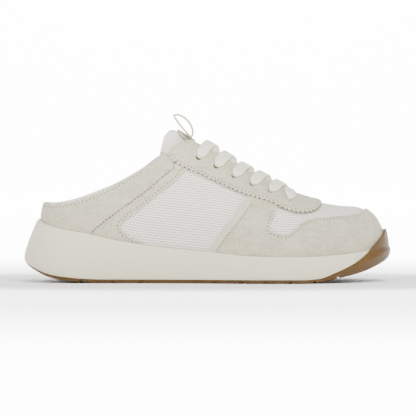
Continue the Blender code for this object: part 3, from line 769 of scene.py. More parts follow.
@dataclass
class Piece:
    """A mesh being made, with the materials its faces use."""

    name: str
    materials: list[bpy.types.Material]
    slot: str
    nodes: tuple[str, ...] = ()
    crease: float = 50.0
    mesh: bmesh.types.BMesh = field(default_factory=bmesh.new)

    def weld(self) -> None:
        """Joins the two sides of every seam and drops the walls left inside it."""
        faces = list(self.mesh.faces)
        centres = KDTree(len(faces))
        for i, face in enumerate(faces):
            centres.insert(face.calc_center_median(), i)
        centres.balance()
        inside = [face for face in faces if len(centres.find_range(face.calc_center_median(), 5e-6)) > 1]
        bmesh.ops.delete(self.mesh, geom=inside, context="FACES")
        bmesh.ops.remove_doubles(self.mesh, verts=self.mesh.verts, dist=4e-6)
        bmesh.ops.dissolve_degenerate(self.mesh, edges=self.mesh.edges, dist=4e-6)

    def done(self, cutter: bpy.types.Object | None = None) -> bpy.types.Object:
        """Turns the mesh into a piece of the shoe.

        Args:
            cutter: an object whose form is cut away.

        Returns:
            The new object, at the origin.
        """
        bmesh.ops.recalc_face_normals(self.mesh, faces=self.mesh.faces)
        data = kept(self.name, self.mesh)
        for item in self.materials:
            data.materials.append(item)
        data.shade_smooth()
        data.set_sharp_from_angle(angle=math.radians(self.crease))
        made = linked(self.name, data)
        if cutter is not None:
            step = made.modifiers.new("cut", "BOOLEAN")
            step.operation, step.solver, step.object = "DIFFERENCE", "EXACT", cutter
            evaluated = made.evaluated_get(bpy.context.evaluated_depsgraph_get())
            made.data = bpy.data.meshes.new_from_object(evaluated)
            made.modifiers.clear()
            bpy.data.objects.remove(cutter, do_unlink=True)
        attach(made, "root")
        if self.nodes:
            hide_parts(*self.nodes)
        log.info("%s: %d faces", self.name, len(made.data.polygons))
        return made


def value_at(offset: Offset, across: np.ndarray, over: np.ndarray) -> np.ndarray:
    """An offset that may vary over the pattern."""
    return offset(across, over) if callable(offset) else np.full(across.shape, offset)


@dataclass
class Panel:
    """A piece cut flat to an outline, given rounded edges and laid on the last.

    Attributes:
        name: name of the piece.
        outline: pattern places round its edge.
        low: offset of its underside.
        high: offset of its face.
        edge: radius of its rounded edges.
        both: whether the lower edges are rounded too.
        steps: how finely it is divided, across and over.
    """

    name: str
    outline: list[Place]
    low: Offset
    high: Offset
    materials: list[bpy.types.Material]
    slot: str
    nodes: tuple[str, ...] = ()
    edge: float = 0.4 * MM
    rounds: int = 2
    both: bool = False
    thick: float = 1.3 * MM
    steps: tuple[int, int] = (120, 30)
    seams: Callable[[Vector], bool] = lambda place: False
    trim: Callable[[float, float], bool] = lambda across, over: False

    def slice(self, mesh: bmesh.types.BMesh, axis: int, size: float) -> None:
        """Cuts the flat piece along evenly spaced lines."""
        places = [vertex.co[axis] for vertex in mesh.verts]
        normal = Vector((1.0, 0.0, 0.0)) if axis == 0 else Vector((0.0, 1.0, 0.0))
        for i in range(math.ceil(min(places) / size), math.floor(max(places) / size) + 1):
            geometry = mesh.verts[:] + mesh.edges[:] + mesh.faces[:]
            bmesh.ops.bisect_plane(mesh, geom=geometry, plane_co=normal * i * size, plane_no=normal, dist=2e-6)

    def build(self) -> Piece:
        """Cuts, rounds and lays the piece.

        Returns:
            The piece: its edges' walls take the second material, its underside the last.
        """
        piece = Piece(self.name, self.materials, self.slot, self.nodes)
        mesh = piece.mesh
        mesh.faces.new([mesh.verts.new((x * FLAT[0], y * FLAT[1], 0.0)) for x, y in self.outline])
        raised = bmesh.ops.extrude_face_region(mesh, geom=mesh.faces[:], use_keep_orig=True)
        for item in raised["geom"]:
            if isinstance(item, bmesh.types.BMVert):
                item.co.z = self.thick
        bmesh.ops.recalc_face_normals(mesh, faces=mesh.faces)
        rims = []
        for item in mesh.edges:
            first, second = (v.co for v in item.verts)
            level = abs(first.z - second.z) < 1e-9 and (self.both or first.z > self.thick / 2.0)
            if level and not (self.seams(first) and self.seams(second)):
                rims.append(item)
        bmesh.ops.bevel(
            mesh, geom=rims, offset=self.edge, offset_type="OFFSET", segments=self.rounds, profile=0.5,
            affect="EDGES", clamp_overlap=True,
        )
        self.slice(mesh, 1, FLAT[1] / self.steps[1])
        self.slice(mesh, 0, FLAT[0] / self.steps[0])
        bmesh.ops.triangulate(mesh, faces=[face for face in mesh.faces if len(face.verts) > 4])
        mesh.normal_update()
        for face in mesh.faces:
            if face.normal.z < -0.7 and len(self.materials) > 2:
                face.material_index = 2
            elif face.normal.z < 0.5 and len(self.materials) > 1:
                face.material_index = 1
            centre = face.calc_center_median()
            if self.trim(centre.x / FLAT[0], centre.y / FLAT[1]):
                face.material_index = 1
        mesh.verts.index_update()
        flat = np.array([vertex.co[:] for vertex in mesh.verts])
        across, over, part = flat[:, 0] / FLAT[0], flat[:, 1] / FLAT[1], flat[:, 2] / self.thick
        offset = lerp(value_at(self.low, across, over), value_at(self.high, across, over), part)
        places, lengths = LAST.surface(across, over, offset), pattern_lengths(across, over)
        layer = mesh.loops.layers.uv.new("pattern")
        for face in mesh.faces:
            for loop in face.loops:
                loop[layer].uv = lengths[loop.vert.index]
        for vertex, place in zip(mesh.verts, places):
            vertex.co = place
        piece.weld()
        return piece


def ring(
    name: str,
    rows: Sequence[Sequence[np.ndarray]],
    materials: list[bpy.types.Material],
    slot: str,
    nodes: tuple[str, ...],
) -> Piece:
    """A floor-like solid that closes round the shoe.

    Args:
        name: name of the piece.
        rows: for each step of its profile, the points round the shoe, last joined to first.
        materials: its materials.
        slot: the name of its material slot, stored on the piece and not used further.
        nodes: the pieces of the frame it stands for.

    Returns:
        The piece.
    """
    piece = Piece(name, materials, slot, nodes)
    count, steps = len(rows[0]), len(rows) - 1
    for vertex, i, j in grid(piece.mesh, count, steps):
        vertex.co = rows[j][i % count]
    piece.weld()
    return piece


EDGES = (
    (0.00, 1.00, 0.48, 0.18, 0.00, 0.0), (0.08, 0.72, 0.42, 0.18, 0.00, 0.0), (0.20, 0.42, 0.30, 0.20, 0.00, 0.0),
    (0.50, 0.32, 0.25, 0.25, 0.00, 0.0), (0.74, 0.28, 0.25, 0.28, 0.00, 0.0), (0.80, 0.27, 0.28, 0.32, 0.09, 0.1),
    (0.85, 0.26, 0.33, 0.36, 0.23, 0.4), (0.90, 0.22, 0.42, 0.48, 0.40, 0.8), (0.95, 0.16, 0.56, 0.62, 0.65, 1.0),
    (0.98, 0.12, 0.66, 0.74, 0.83, 1.0), (1.00, 0.10, 0.72, 0.80, 1.00, 1.0),
)
KEEL = (
    (0.000, 1.28, 0.00), (0.020, 0.94, 0.00), (0.055, 0.50, 0.00), (0.085, 0.27, 0.00), (0.130, 0.12, 0.00),
    (0.180, 0.03, 0.00), (0.230, 0.00, 0.00), (0.755, 0.00, 0.00), (0.800, 0.00, 0.06), (0.850, 0.00, 0.23),
    (0.900, 0.00, 0.42), (0.940, 0.00, 0.63), (0.975, 0.00, 0.93), (1.000, 0.00, 1.25),
)


@dataclass(frozen=True)
class Sole:
    """The sole's own form, read at places across."""

    rim_wall: float = 1.5 * MM
    rim_swell: float = 1.0 * MM
    heel_flare: float = 10.6 * MM
    edge_tuck: float = 8.0 * MM
    plate: float = 2.0 * MM
    lip: float = 0.8 * MM
    top_room: float = 7.0 * MM
    wrap_wall: float = 1.2 * MM
    wrap_rise: float = 40.0 * MM
    heel_bevel: float = 12.5 * MM
    toe_spring: float = 16.5 * MM
    groove: tuple[float, float] = (2.2 * MM, 1.4 * MM)
    # length across the sole and height of the bars that cut the grooves
    bar: tuple[float, float] = (160.0 * MM, 20.0 * MM)
    grooves: tuple[float, ...] = (0.16, 0.245, 0.32, 0.52, 0.59, 0.655, 0.72, 0.785, 0.85)
    count: int = 240

    @property
    def cup(self) -> float:
        """Offset of the cup's inner wall."""
        return 2 * GAP + PANEL_TOP - GAP

    @property
    def ends(self) -> tuple[float, float]:
        """Where the sole ends behind the heel and before the toe."""
        room = self.cup + self.rim_wall
        return (
            -LAST.heel_back - room - self.heel_flare,
            LAST.length - LAST.heel_back + room + self.rim_swell + self.heel_flare * 0.10,
        )

    def across(self) -> np.ndarray:
        """The places the sole is read at."""
        return 2.0 * np.arange(self.count) / self.count

    def trait(self, number: int, across) -> np.ndarray:
        """A column of the edge's table."""
        share = LAST.fold(across, 0.0)[1]
        return curve([float(turn(row[0])) for row in EDGES], [row[number] for row in EDGES], share, True)

    def keel(self, x) -> np.ndarray:
        """The height of the underside."""
        low, high = self.ends
        place = (x - low) / (high - low)
        knots = [row[0] for row in KEEL]
        lift = curve(knots, [row[1] for row in KEEL], place) * self.heel_bevel
        return np.maximum(lift + curve(knots, [row[2] for row in KEEL], place) * self.toe_spring, 0.0)

    def rim_offset(self, across) -> np.ndarray:
        """How far out the rim stands."""
        return self.cup + self.rim_wall + self.trait(5, across) * self.rim_swell

    def foot(self, across) -> tuple[np.ndarray, np.ndarray]:
        """Offset and height of the lower edge."""
        flare, tuck = self.trait(1, across) * self.heel_flare, self.trait(2, across) * self.edge_tuck
        offset = self.rim_offset(across) + flare - tuck
        return offset, self.keel(LAST.skin(across, 0.0, offset)[..., 0])

    def side(self, across, z) -> np.ndarray:
        """How far out the side stands at a height."""
        low, bottom = self.foot(across)
        rim = self.rim_offset(across)
        widest, belly = rim + self.trait(1, across) * self.heel_flare, self.trait(3, across)
        part = np.clip((z - bottom) / (LAST.rim(across) - bottom), 0.0, 1.0)
        below = low + (widest - low) * np.sqrt(np.maximum(1.0 - (1.0 - np.minimum(part / belly, 1.0)) ** 2, 0.0))
        above = widest - (widest - rim) * np.maximum((part - belly) / (1.0 - belly), 0.0) ** 1.3
        return np.where(part < belly, below, above)

    def wrap_top(self, across) -> np.ndarray:
        """The upper edge of the outsole."""
        bottom = self.foot(across)[1]
        return np.maximum(self.trait(4, across) * self.wrap_rise, bottom + self.plate + self.lip)

    def levels(self, across, count: int) -> list[np.ndarray]:
        """Heights up the outsole's wall."""
        bottom = self.foot(across)[1] + self.plate
        high = np.minimum(self.wrap_top(across), LAST.rim(across))
        return [lerp(bottom, high, (i + 1) / count) for i in range(count)]

    def rung(
        self, across, start: np.ndarray, z_at: Callable, parts: Sequence[float] = (0.06, 0.15, 0.3, 0.5, 0.75, 1.0)
    ) -> list[np.ndarray]:
        """Rows from an edge in to the spine, at the height the floor has there."""
        spine = LAST.crest(LAST.fold(across, 0.0)[1])
        rows = []
        for part in parts:
            flat = lerp(start[..., :2], spine[..., :2], part)
            rows.append(np.concatenate([flat, z_at(flat[..., 0])[..., None]], -1))
        return rows

    def placed(self, across, offset, z_at: Callable) -> np.ndarray:
        """A row at an offset whose height follows a floor."""
        row = LAST.skin(across, 0.0, offset)
        row[..., 2] = z_at(row[..., 0])
        return row

    def floor(self, x) -> np.ndarray:
        """The height of the feather line."""
        return LAST.column(3, turn((x + LAST.heel_back) / LAST.length)) * LAST.heel_rise - LAST.cup_depth

    def midsole(self, wardrobe: Wardrobe) -> bpy.types.Object:
        """The foam cup with its rolled rim."""
        at = self.across()
        rim, foot = LAST.rim(at), self.foot(at)[0]
        stand = self.wrap_wall + GAP
        under = lambda x: self.keel(x) + self.plate + GAP
        bottom = self.placed(at, foot - stand, under)
        lip = LAST.skin(at, rim - LAST.cup_depth - GAP, self.cup)
        top = self.wrap_top(at) + GAP
        behind = np.where(top > rim - self.top_room, stand, 0.0)
        ledge = np.minimum(top, rim - MM)
        outer = self.rim_offset(at) - behind
        rows = self.rung(at, lip, lambda x: self.floor(x) - GAP)[::-1] + [lip]
        rows.append(LAST.skin(at, rim - 0.6 * MM, self.cup))
        for angle in (0.0, 0.25, 0.5, 0.75, 1.0):
            turned_by = angle * math.pi / 2.0
            reach = outer - 0.9 * MM + 0.9 * MM * math.sin(turned_by)
            drop = 0.9 * MM * (1.0 - math.cos(turned_by))
            if angle == 0.0:
                rows.append(LAST.skin(at, rim, self.cup + 0.45 * MM))
            rows.append(LAST.skin(at, rim - drop, np.maximum(reach, self.cup + 0.6 * MM)))
        for part in (0.04, 0.10, 0.18, 0.27, 0.36, 0.45, 0.54, 0.63, 0.72, 0.80, 0.87, 0.93, 0.97, 1.0):
            z = lerp(rim - 1.0 * MM, ledge, part)
            rows.append(LAST.skin(at, z, self.side(at, z) - behind))
        for z in [ledge] + self.levels(at, 4)[::-1]:
            z = np.maximum(np.minimum(z, ledge), bottom[..., 2])
            rows.append(LAST.skin(at, z, self.side(at, z) - stand))
        rows += [bottom] + self.rung(at, LAST.skin(at, 0.0, foot), under)
        return ring("midsole_form", rows, [wardrobe.foam], "foam", ("midsole",)).done()

    def outsole(self, wardrobe: Wardrobe) -> bpy.types.Object:
        """The gum tray with its toe wrap and flex grooves."""
        at = self.across()
        rim, top = LAST.rim(at), self.wrap_top(at)
        foot = self.foot(at)[0]
        plate = lambda x: self.keel(x) + self.plate
        bottom, inner = self.placed(at, foot, self.keel), self.placed(at, foot - self.wrap_wall, plate)
        heights = self.levels(at, 8) + [lerp(np.minimum(top, rim), top, part) for part in (0.15, 0.4, 0.7, 1.0)]
        lean = [smooth((z - rim) / (3 * MM)) * (self.rim_wall + self.rim_swell - self.wrap_wall) for z in heights]
        sides = [self.side(at, np.minimum(z, rim)) for z in heights]
        rows = self.rung(at, bottom, plate)[::-1] + [inner]
        rows += [LAST.skin(at, z, side - self.wrap_wall - push) for z, side, push in zip(heights, sides, lean)]
        rows += [LAST.skin(at, z, side) for z, side in zip(heights[::-1], sides[::-1])]
        for part in (0.6, 0.25):
            z = lerp(bottom[..., 2], heights[0], part)
            rows.append(LAST.skin(at, z, self.side(at, z)))
        rows += [bottom] + self.rung(at, bottom, self.keel)
        return ring("outsole_form", rows, [wardrobe.gum], "gum", ("outsole",)).done(self.groove_bars())

    def groove_bars(self) -> bpy.types.Object:
        """Bars across the sole for its flex grooves."""
        low, high = self.ends
        mesh = bmesh.new()
        for place in self.grooves:
            x = lerp(low, high, place)
            top = float(self.keel(np.array([x]))[0]) + self.groove[1]
            bmesh.ops.create_cube(mesh, size=1.0)
            for vertex in mesh.verts[-8:]:
                along, up = vertex.co.x * self.groove[0], (vertex.co.z - 0.5) * self.bar[1]
                vertex.co = (x + along, vertex.co.y * self.bar[0], top + up)
        return loose("groove_bars", mesh)

    def insole(self, wardrobe: Wardrobe) -> bpy.types.Object:
        """The dished footbed."""
        at = self.across()
        inner_side = at > 1.0
        bed = lambda x: self.floor(x) + GAP
        bottom = self.placed(at, -SHELL_WALL - 2 * GAP, bed)
        station = (bottom[..., 0] + LAST.heel_back) / LAST.length
        tall = 5.5 * MM + np.where(inner_side, smooth(1.0 - abs(station - 0.44) / 0.2) * 3.0 * MM, 0.0)
        rows_in = []
        for inset, drop in ((0.3, 0.8), (0.6, 0.25), (1.1, 0.0)):
            row = LAST.skin(at, bottom[..., 2] + tall, -SHELL_WALL - 2 * GAP - inset * MM)
            row[..., 2] = bottom[..., 2] + tall - drop * MM
            rows_in.append(row)
        parts = (0.06, 0.12, 0.2, 0.3, 0.42, 0.55, 0.7, 0.85, 1.0)
        dish = self.rung(at, rows_in[-1], bed, parts)
        for part, row in zip(parts, dish):
            row[..., 2] += lerp(tall, 3.5 * MM, smooth(part * 1.6))
        rows = dish[::-1] + rows_in[::-1] + [bottom] + self.rung(at, bottom, bed)
        return ring("insole_form", rows, [wardrobe.footbed], "footbed", ("insole",)).done()


def loose(name: str, mesh: bmesh.types.BMesh) -> bpy.types.Object:
    """An unseen object that only cuts others."""
    bmesh.ops.recalc_face_normals(mesh, faces=mesh.faces)
    return linked(name, kept(name, mesh))


def fine(rows: Sequence[Place], pitch: float = 2.2 * MM) -> list[Place]:
    """An outline from stations and rises, read evenly."""
    return spread(turned(rows), pitch)


def under_edge(first: float, last: float, count: int, lap: float = 0.030) -> list[Place]:
    """Places just behind the eyestay's lower edge, from one station to another."""
    shares = np.linspace(float(turn(first)), float(turn(last)), count + 1)
    return list(zip(shares.tolist(), (height(LINES.eyestay_edge, shares) + lap).tolist()))


def eyelet_places() -> list[Place]:
    """The eyelets of both sides, heel first, the outer side's and then the inner side's."""
    near = turned(LINES.eyelets)
    return near + over_crest(near)


def pins(radius: float) -> bpy.types.Object:
    """Round pins through every eyelet, square to the surface."""
    mesh = bmesh.new()
    for across, over in eyelet_places():
        low, high = (Vector(LAST.surface(across, over, depth * MM)) for depth in (-6.0, 6.0))
        matrix = (high - low).to_track_quat("Z", "Y").to_matrix().to_4x4()
        matrix.translation = (low + high) / 2.0
        bmesh.ops.create_cone(
            mesh, cap_ends=True, segments=20, radius1=radius, radius2=radius, depth=(high - low).length, matrix=matrix
        )
    return loose("eyelet_pins", mesh)


@dataclass
class Upper:
    """The mesh shell with its padded collar and the suede panels on it."""

    wardrobe: Wardrobe
    hem: float = 4.6 * MM
    pink_pitch: float = 1.85 * MM
    pink_depth: float = 1.9 * MM

    @staticmethod
    def inside(across, over) -> np.ndarray:
        """The shell's inner offset: thin, thickening to a padded collar."""
        _, share, rise = LAST.fold(across, over)
        end = float(turn(LINES.topline[-1][0]))
        near = smooth(1.0 - (height(LINES.topline, np.minimum(share, end)) - rise) / 0.14)
        pad = COLLAR_PAD * near * smooth((end - share) / 0.05)
        return -(SHELL_WALL + np.where(share < end, pad, 0.0))

    @staticmethod
    def outside(across, over) -> np.ndarray:
        """The shell's outer offset: the collar swells a little over the heel panel's edge."""
        _, share, rise = LAST.fold(across, over)
        end = float(turn(LINES.collar_edge[-1][0]))
        above = rise - height(LINES.collar_edge, np.minimum(share, end))
        swell = smooth(above / 0.02) * smooth((end + 0.03 - share) / 0.06)
        return swell * COLLAR_SWELL

    def shell(self) -> bpy.types.Object:
        """The one hollow shell, open at the collar, the throat and underneath."""
        top = fine(LINES.topline + LINES.throat, 2.0 * MM) + [(float(turn(LINES.throat_tip)), 1.0)]
        outline = [(0.0, 0.0)] + top + round_toe(top) + [(2.0, 0.0)]

        def seams(place: Vector) -> bool:
            across, over = place.x / FLAT[0], place.y / FLAT[1]
            return across < 1e-4 or across > 2.0 - 1e-4 or over > 1.0 - 1e-4 or over < 1e-4

        def lip(across: float, over: float) -> bool:
            share = min(across, 2.0 - across)
            behind = share < float(turn(LINES.collar_edge[-1][0])) + 0.02
            return behind and over > float(height(LINES.collar_edge, share))

        materials = [self.wardrobe.knit, self.wardrobe.lining, self.wardrobe.lining]
        panel = Panel(
            "upper_shell", outline, self.inside, self.outside, materials, "knit", ("upper",), edge=0.92 * MM, rounds=3,
            both=True, thick=SHELL_WALL, steps=(170, 34), seams=seams, trim=lip,
        )
        return panel.build().done(pins(2.2 * MM))

    def suede(
        self, name: str, outline: list[Place], nodes: tuple[str, ...], high: float = PANEL_TOP, cut=False, **more
    ) -> Panel:
        """A suede panel, its cut edge darker where that shows, partly its own tone and partly painted shade."""
        materials = [self.wardrobe.suede, self.wardrobe.suede_edge_and_shade if cut else self.wardrobe.suede]
        return Panel(name, outline, GAP, high, materials, "suede", nodes, edge=0.34 * MM, rounds=2, **more)

    def heel_panel(self) -> bpy.types.Object:
        """The panel round the heel, up to the collar's edge."""
        near = fine(LINES.collar_edge) + under_edge(0.372, 0.384, 3) + fine(LINES.collar_seam)[::-1]
        far = [(-across, over) for across, over in reversed(near) if across > 1e-9]
        return self.suede("heel_counter", near + far, ("heel_panel",)).build().done()

    def quarter_strip(self, side: Side) -> bpy.types.Object:
        """The band between the heel panel's seam and the quarter's window."""
        seam = [(across + 0.0016, over) for across, over in fine(LINES.collar_seam)]
        outline = seam + under_edge(0.388, 0.421, 5) + fine(LINES.quarter_window)
        if side is Side.INNER:
            outline = round_toe(outline)
        word = side.name.lower()
        return self.suede(f"quarter_band_{word}", outline, (f"quarter_strip_{word}",), BAND_TOP).build().done()

    def toe_guard(self) -> bpy.types.Object:
        """The panel over both straps and round the toe."""
        near = fine(LINES.strap_edge) + under_edge(0.601, 0.684, 8) + fine(LINES.vamp_window, 1.8 * MM)
        return self.suede("toe_cap", near + round_toe(near[:-1]), ("toe_guard",)).build().done()

    def strap_hem(self, side: Side) -> bpy.types.Object:
        """The light folded band along the strap's rear edge."""
        rear = fine(LINES.strap_edge)
        outline = rear + shifted(rear, -self.hem)[::-1]
        if side is Side.INNER:
            outline = round_toe(outline)
        materials = [self.wardrobe.hem, self.wardrobe.hem]
        return Panel(
            f"strap_hem_{side.name.lower()}", outline, PANEL_TOP - 0.2 * MM, PANEL_TOP + 0.55 * MM, materials, "suede",
            edge=0.3 * MM, rounds=2, thick=0.75 * MM,
        ).build().done()

    @staticmethod
    def under_stay(across, over) -> np.ndarray:
        """The eyestay's underside: it laps over the other panels and lies on the shell behind them."""
        _, share, rise = LAST.fold(across, over)
        lap = smooth((rise - height(LINES.eyestay_edge, share) - 0.035) / 0.06)
        return lerp(PANEL_TOP + 0.1 * MM, GAP, lap)

    def eyestay(self) -> bpy.types.Object:
        """The panel with the eyelets, its lower edge pinked."""
        lower = spread(turned(LINES.eyestay_edge), self.pink_pitch)
        near = lower[:2] + pinked(lower, self.pink_depth)[2:-1] + lower[-1:]
        end, throat = fine(LINES.eyestay_end), fine(LINES.throat)
        outline = near + round_crest(near[:-1])
        outline += over_crest(end + throat)
        outline += [(float(turn(LINES.throat_tip)), 1.0)] + throat[::-1] + end[::-1]
        panel = self.suede("eyelet_stay", outline, ("eyestay",), STAY_TOP, cut=True, thick=0.9 * MM)
        panel.low = self.under_stay
        return panel.build().done(pins(2.3 * MM))

    def build(self) -> None:
        """Makes the shell and its panels."""
        self.shell()
        self.heel_panel()
        for side in Side:
            self.quarter_strip(side)
            self.strap_hem(side)
        self.toe_guard()
        self.eyestay()


@dataclass
class Tongue:
    """The padded tongue with its suede tab and webbing loop."""

    wardrobe: Wardrobe
    wall: float = 4.5 * MM
    lift: float = 2.4 * MM
    roll: float = 3.0 * MM
    tab: tuple[Place, Place] = ((0.392, 0.890), (0.446, 0.890))
    loop_root: float = 0.436
    loop_size: tuple[float, float, float] = (12.0 * MM, 1.8 * MM, 23.0 * MM)
    loop_spread: float = 8.5 * MM
    loop_lean: float = math.radians(39)
    loop_tape: float = 52.0 * MM
    # shares of the spread that the loop's front and rear swell by
    loop_swell: Place = (0.82, 0.18)

    def outside(self, across, over) -> np.ndarray:
        """The tongue lies against the shell and swells up through the throat, most at its top end."""
        _, share, rise = LAST.fold(across, over)
        opening = height(LINES.topline + LINES.throat, share)
        roll = smooth((turn(0.43) - share) / (turn(0.43) - turn(0.37)))
        full = self.lift * (0.45 + 0.55 * smooth((turn(0.50) - share) / 0.05)) + self.roll * roll
        return Upper.inside(across, over) - 4 * GAP + full * smooth((rise - opening - 0.08) / 0.13)

    def inside(self, across, over) -> np.ndarray:
        """The tongue's underside."""
        return self.outside(across, over) - self.wall

    def tab_top(self, across, over) -> np.ndarray:
        """The face of the tongue's tab."""
        return self.outside(across, over) + 2 * GAP + TONGUE_TAB

    def body(self) -> bpy.types.Object:
        """The padded tongue itself."""
        end, side = fine(LINES.tongue_end), fine(LINES.tongue_side)
        tip = float(turn(0.752))
        outline = end + round_crest(end[:-1]) + over_crest(side[:-1])
        outline += [(tip, 1.20), (tip, 0.80)] + side[:-1][::-1]
        materials = [self.wardrobe.tongue_knit, self.wardrobe.tongue_knit, self.wardrobe.lining]
        return Panel(
            "tongue_body", outline, self.inside, self.outside, materials, "knit", ("tongue",), edge=1.7 * MM, rounds=4,
            both=True, thick=self.wall, steps=(150, 44),
        ).build().done()

    def patch(self) -> bpy.types.Object:
        """The suede tab, pinked along its edges."""
        (back, low), (front, _) = self.tab
        rear, fore = float(turn(back)), float(turn(front))
        corners = [(rear, low), (fore, low), (fore, 2.0 - low), (rear, 2.0 - low)]
        outline = []
        for i, start in enumerate(corners):
            run = spread([start, corners[(i + 1) % 4]], 1.6 * MM)
            outline += [run[0]] + pinked(run, 1.0 * MM)[1:-1]
        inside = lambda a, o: self.outside(a, o) + 2 * GAP
        materials = [self.wardrobe.suede, self.wardrobe.suede_edge_and_shade]
        return Panel(
            "tongue_patch", outline, inside, self.tab_top, materials, "suede", ("tongue_tab",), edge=0.3 * MM,
            thick=TONGUE_TAB, steps=(150, 60),
        ).build().done()

    def loop(self) -> bpy.types.Object:
        """The leaf-shaped loop of webbing that leans back over the collar."""
        wide, thick, tall = self.loop_size
        root_place = float(turn(self.loop_root))
        tab_top = float(self.tab_top(np.array([root_place]), np.array([1.0]))[0])
        root = LAST.surface(root_place, 1.0, tab_top - GAP)
        lean = np.array([-math.sin(self.loop_lean), 0.0, math.cos(self.loop_lean)])
        bulge = np.array([lean[2], 0.0, -lean[0]])
        count, corner = 96, 0.45 * MM
        section = [(0.0, -0.5), (0.0, 0.5), (1.0, 0.5), (1.0, -0.5)]
        steps = 16
        piece = Piece("webbing_loop", [self.wardrobe.webbing], "webbing", ("pull_loop",), crease=40.0)
        layer = piece.mesh.loops.layers.uv.new("pattern")
        flat = {}
        for vertex, i, j in grid(piece.mesh, count, steps):
            angle = 2.0 * math.pi * (i % count) / count
            out = math.sin(angle)
            swell = self.loop_spread * self.loop_swell[0 if out > 0.0 else 1]
            reach = swell * out
            middle = root + lean * (1.0 - math.cos(angle)) / 2.0 * tall + bulge * reach
            level = min(max((1.0 - math.cos(angle)) / 2.0, 0.22), 0.72)
            inner = root + lean * level * tall + bulge * self.loop_spread * 0.3 - middle
            inner = inner / np.linalg.norm(inner)
            slope = lean * out * tall / 2.0 + bulge * swell * math.cos(angle)
            straight = abs(float(np.dot(inner, slope))) / np.linalg.norm(slope)
            wall = thick / max(math.sqrt(max(1.0 - straight * straight, 0.0)), 0.62)
            side = j * 4 // steps % 4
            part = (j % 4) / 4.0
            (t0, w0), (t1, w1) = section[side], section[(side + 1) % 4]
            deep, across = lerp(t0, t1, part) * wall, lerp(w0, w1, part) * wide
            depth_in, side_in = min(deep, wall - deep), wide / 2.0 - abs(across)
            if depth_in < corner and side_in < corner:
                across = math.copysign(wide / 2.0 - corner * 0.35, across)
            vertex.co = Vector(middle + inner * deep + np.array([0.0, across, 0.0]))
            flat[vertex] = (i / count * self.loop_tape, across)
        lay_pattern(piece.mesh, layer, flat)
        piece.weld()
        return piece.done()

    def build(self) -> None:
        """Makes the tongue, its tab and its loop."""
        self.body()
        self.patch()
        self.loop()


@dataclass
class Stitching:
    """Rows of stitches, each a short thread between two needle holes, each hole a dark disc of painted shade."""

    wardrobe: Wardrobe
    pitch: float = 2.9 * MM
    length: float = 1.9 * MM
    radius: float = 0.32 * MM
    hole: float = 0.52 * MM

    def __post_init__(self) -> None:
        ball, disc = bmesh.new(), bmesh.new()
        size = diagonal(Vector((self.length / 2.0, self.radius, self.radius)))
        bmesh.ops.create_uvsphere(ball, u_segments=8, v_segments=5, radius=1.0, matrix=size)
        bmesh.ops.create_circle(disc, cap_ends=True, segments=8, radius=self.hole)
        self.stitch, self.shade_disc = kept("stitch", ball), kept("shade_disc", disc)
        self.threads = Piece("seam_threads", [self.wardrobe.thread], "suede")
        # the dark discs of painted shade at needle holes and notches
        self.holes = Piece("seam_and_notch_shade", [self.wardrobe.shade_disc], "suede")

    def row(self, places: Sequence[Place], offset: float) -> None:
        """Sews a row along pattern places, into a surface at an offset from the last."""
        run = spread(places, self.pitch)
        across, over = split(run)
        points, normals = LAST.surface(across, over, offset), LAST.normal(across, over)
        for i in range(len(run) - 1):
            middle = Vector((points[i] + points[i + 1]) / 2.0)
            ahead, up = Vector(points[i + 1] - points[i]).normalized(), Vector(normals[i])
            lay(self.threads.mesh, self.stitch, frame_matrix(middle - up * self.radius * 0.25, ahead, up))
            # a dark disc at each needle hole: painted shade
            lay(self.holes.mesh, self.shade_disc, frame_matrix(Vector(points[i]) + up * 0.05 * MM, ahead, up))

    def seams(self) -> None:
        """Sews the panels' rows on both sides of the shoe, then the two along the eyestay."""
        for outline, inset, part, offset in (
            (LINES.collar_edge[:-2], -2.4, slice(None), PANEL_TOP),
            (LINES.collar_seam, 0.3, slice(1, -1), PANEL_TOP + 0.02 * MM),
            (LINES.quarter_window, -2.3, slice(2, -1), BAND_TOP),
            (LINES.strap_edge, -5.4, slice(None), PANEL_TOP),
            (LINES.vamp_window, -2.0, slice(3, -6), PANEL_TOP),
        ):
            places = shifted(fine(outline), inset * MM)[part]
            self.row(places, offset)
            self.row(round_toe(places), offset)
        stay = shifted(fine(LINES.eyestay_edge), 2.2 * MM)
        self.row(stay[:-1], STAY_TOP)
        self.row(round_crest(stay), STAY_TOP)

    def notches(self) -> None:
        """Lays dark discs of painted shade in the notches of the eyestay's pinked edge."""
        inset = shifted(spread(turned(LINES.eyestay_edge), Upper.pink_pitch), 0.15 * MM)[1::2]
        for side in (inset, over_crest(inset)):
            across, over = split(side)
            places, normals = LAST.surface(across, over, 1.72 * MM), LAST.normal(across, over)
            for i in range(1, len(side) - 1):
                ahead = Vector(places[i + 1] - places[i - 1]).normalized()
                matrix = frame_matrix(Vector(places[i]), ahead, Vector(normals[i])) @ diagonal(Vector((1.3, 1.3, 1.0)))
                # painted shade: a dark disc in each notch
                lay(self.holes.mesh, self.shade_disc, matrix)

    def build(self) -> None:
        """Sews every row."""
        self.seams()
        self.notches()
        self.threads.done()
        self.holes.done()


def lay(mesh: bmesh.types.BMesh, data: bpy.types.Mesh, matrix) -> None:
    """Adds a copy of a small mesh at a place."""
    copy = data.copy()
    copy.transform(matrix)
    mesh.from_mesh(copy)
    bpy.data.meshes.remove(copy)


def frame_matrix(place: Vector, ahead: Vector, up: Vector):
    """A matrix whose x runs ahead and whose z runs up."""
    side = up.cross(ahead).normalized()
    top = ahead.cross(side).normalized()
    matrix = ahead.to_track_quat("X", "Z").to_matrix().to_4x4()
    for i, axis in enumerate((ahead, side, top)):
        matrix.col[i] = (*axis, 0.0)
    matrix.translation = place
    return matrix


def diagonal(size: Vector):
    """A matrix that scales."""
    matrix = frame_matrix(Vector(), Vector((1, 0, 0)), Vector((0, 0, 1)))
    for i in range(3):
        matrix[i][i] = size[i]
    return matrix


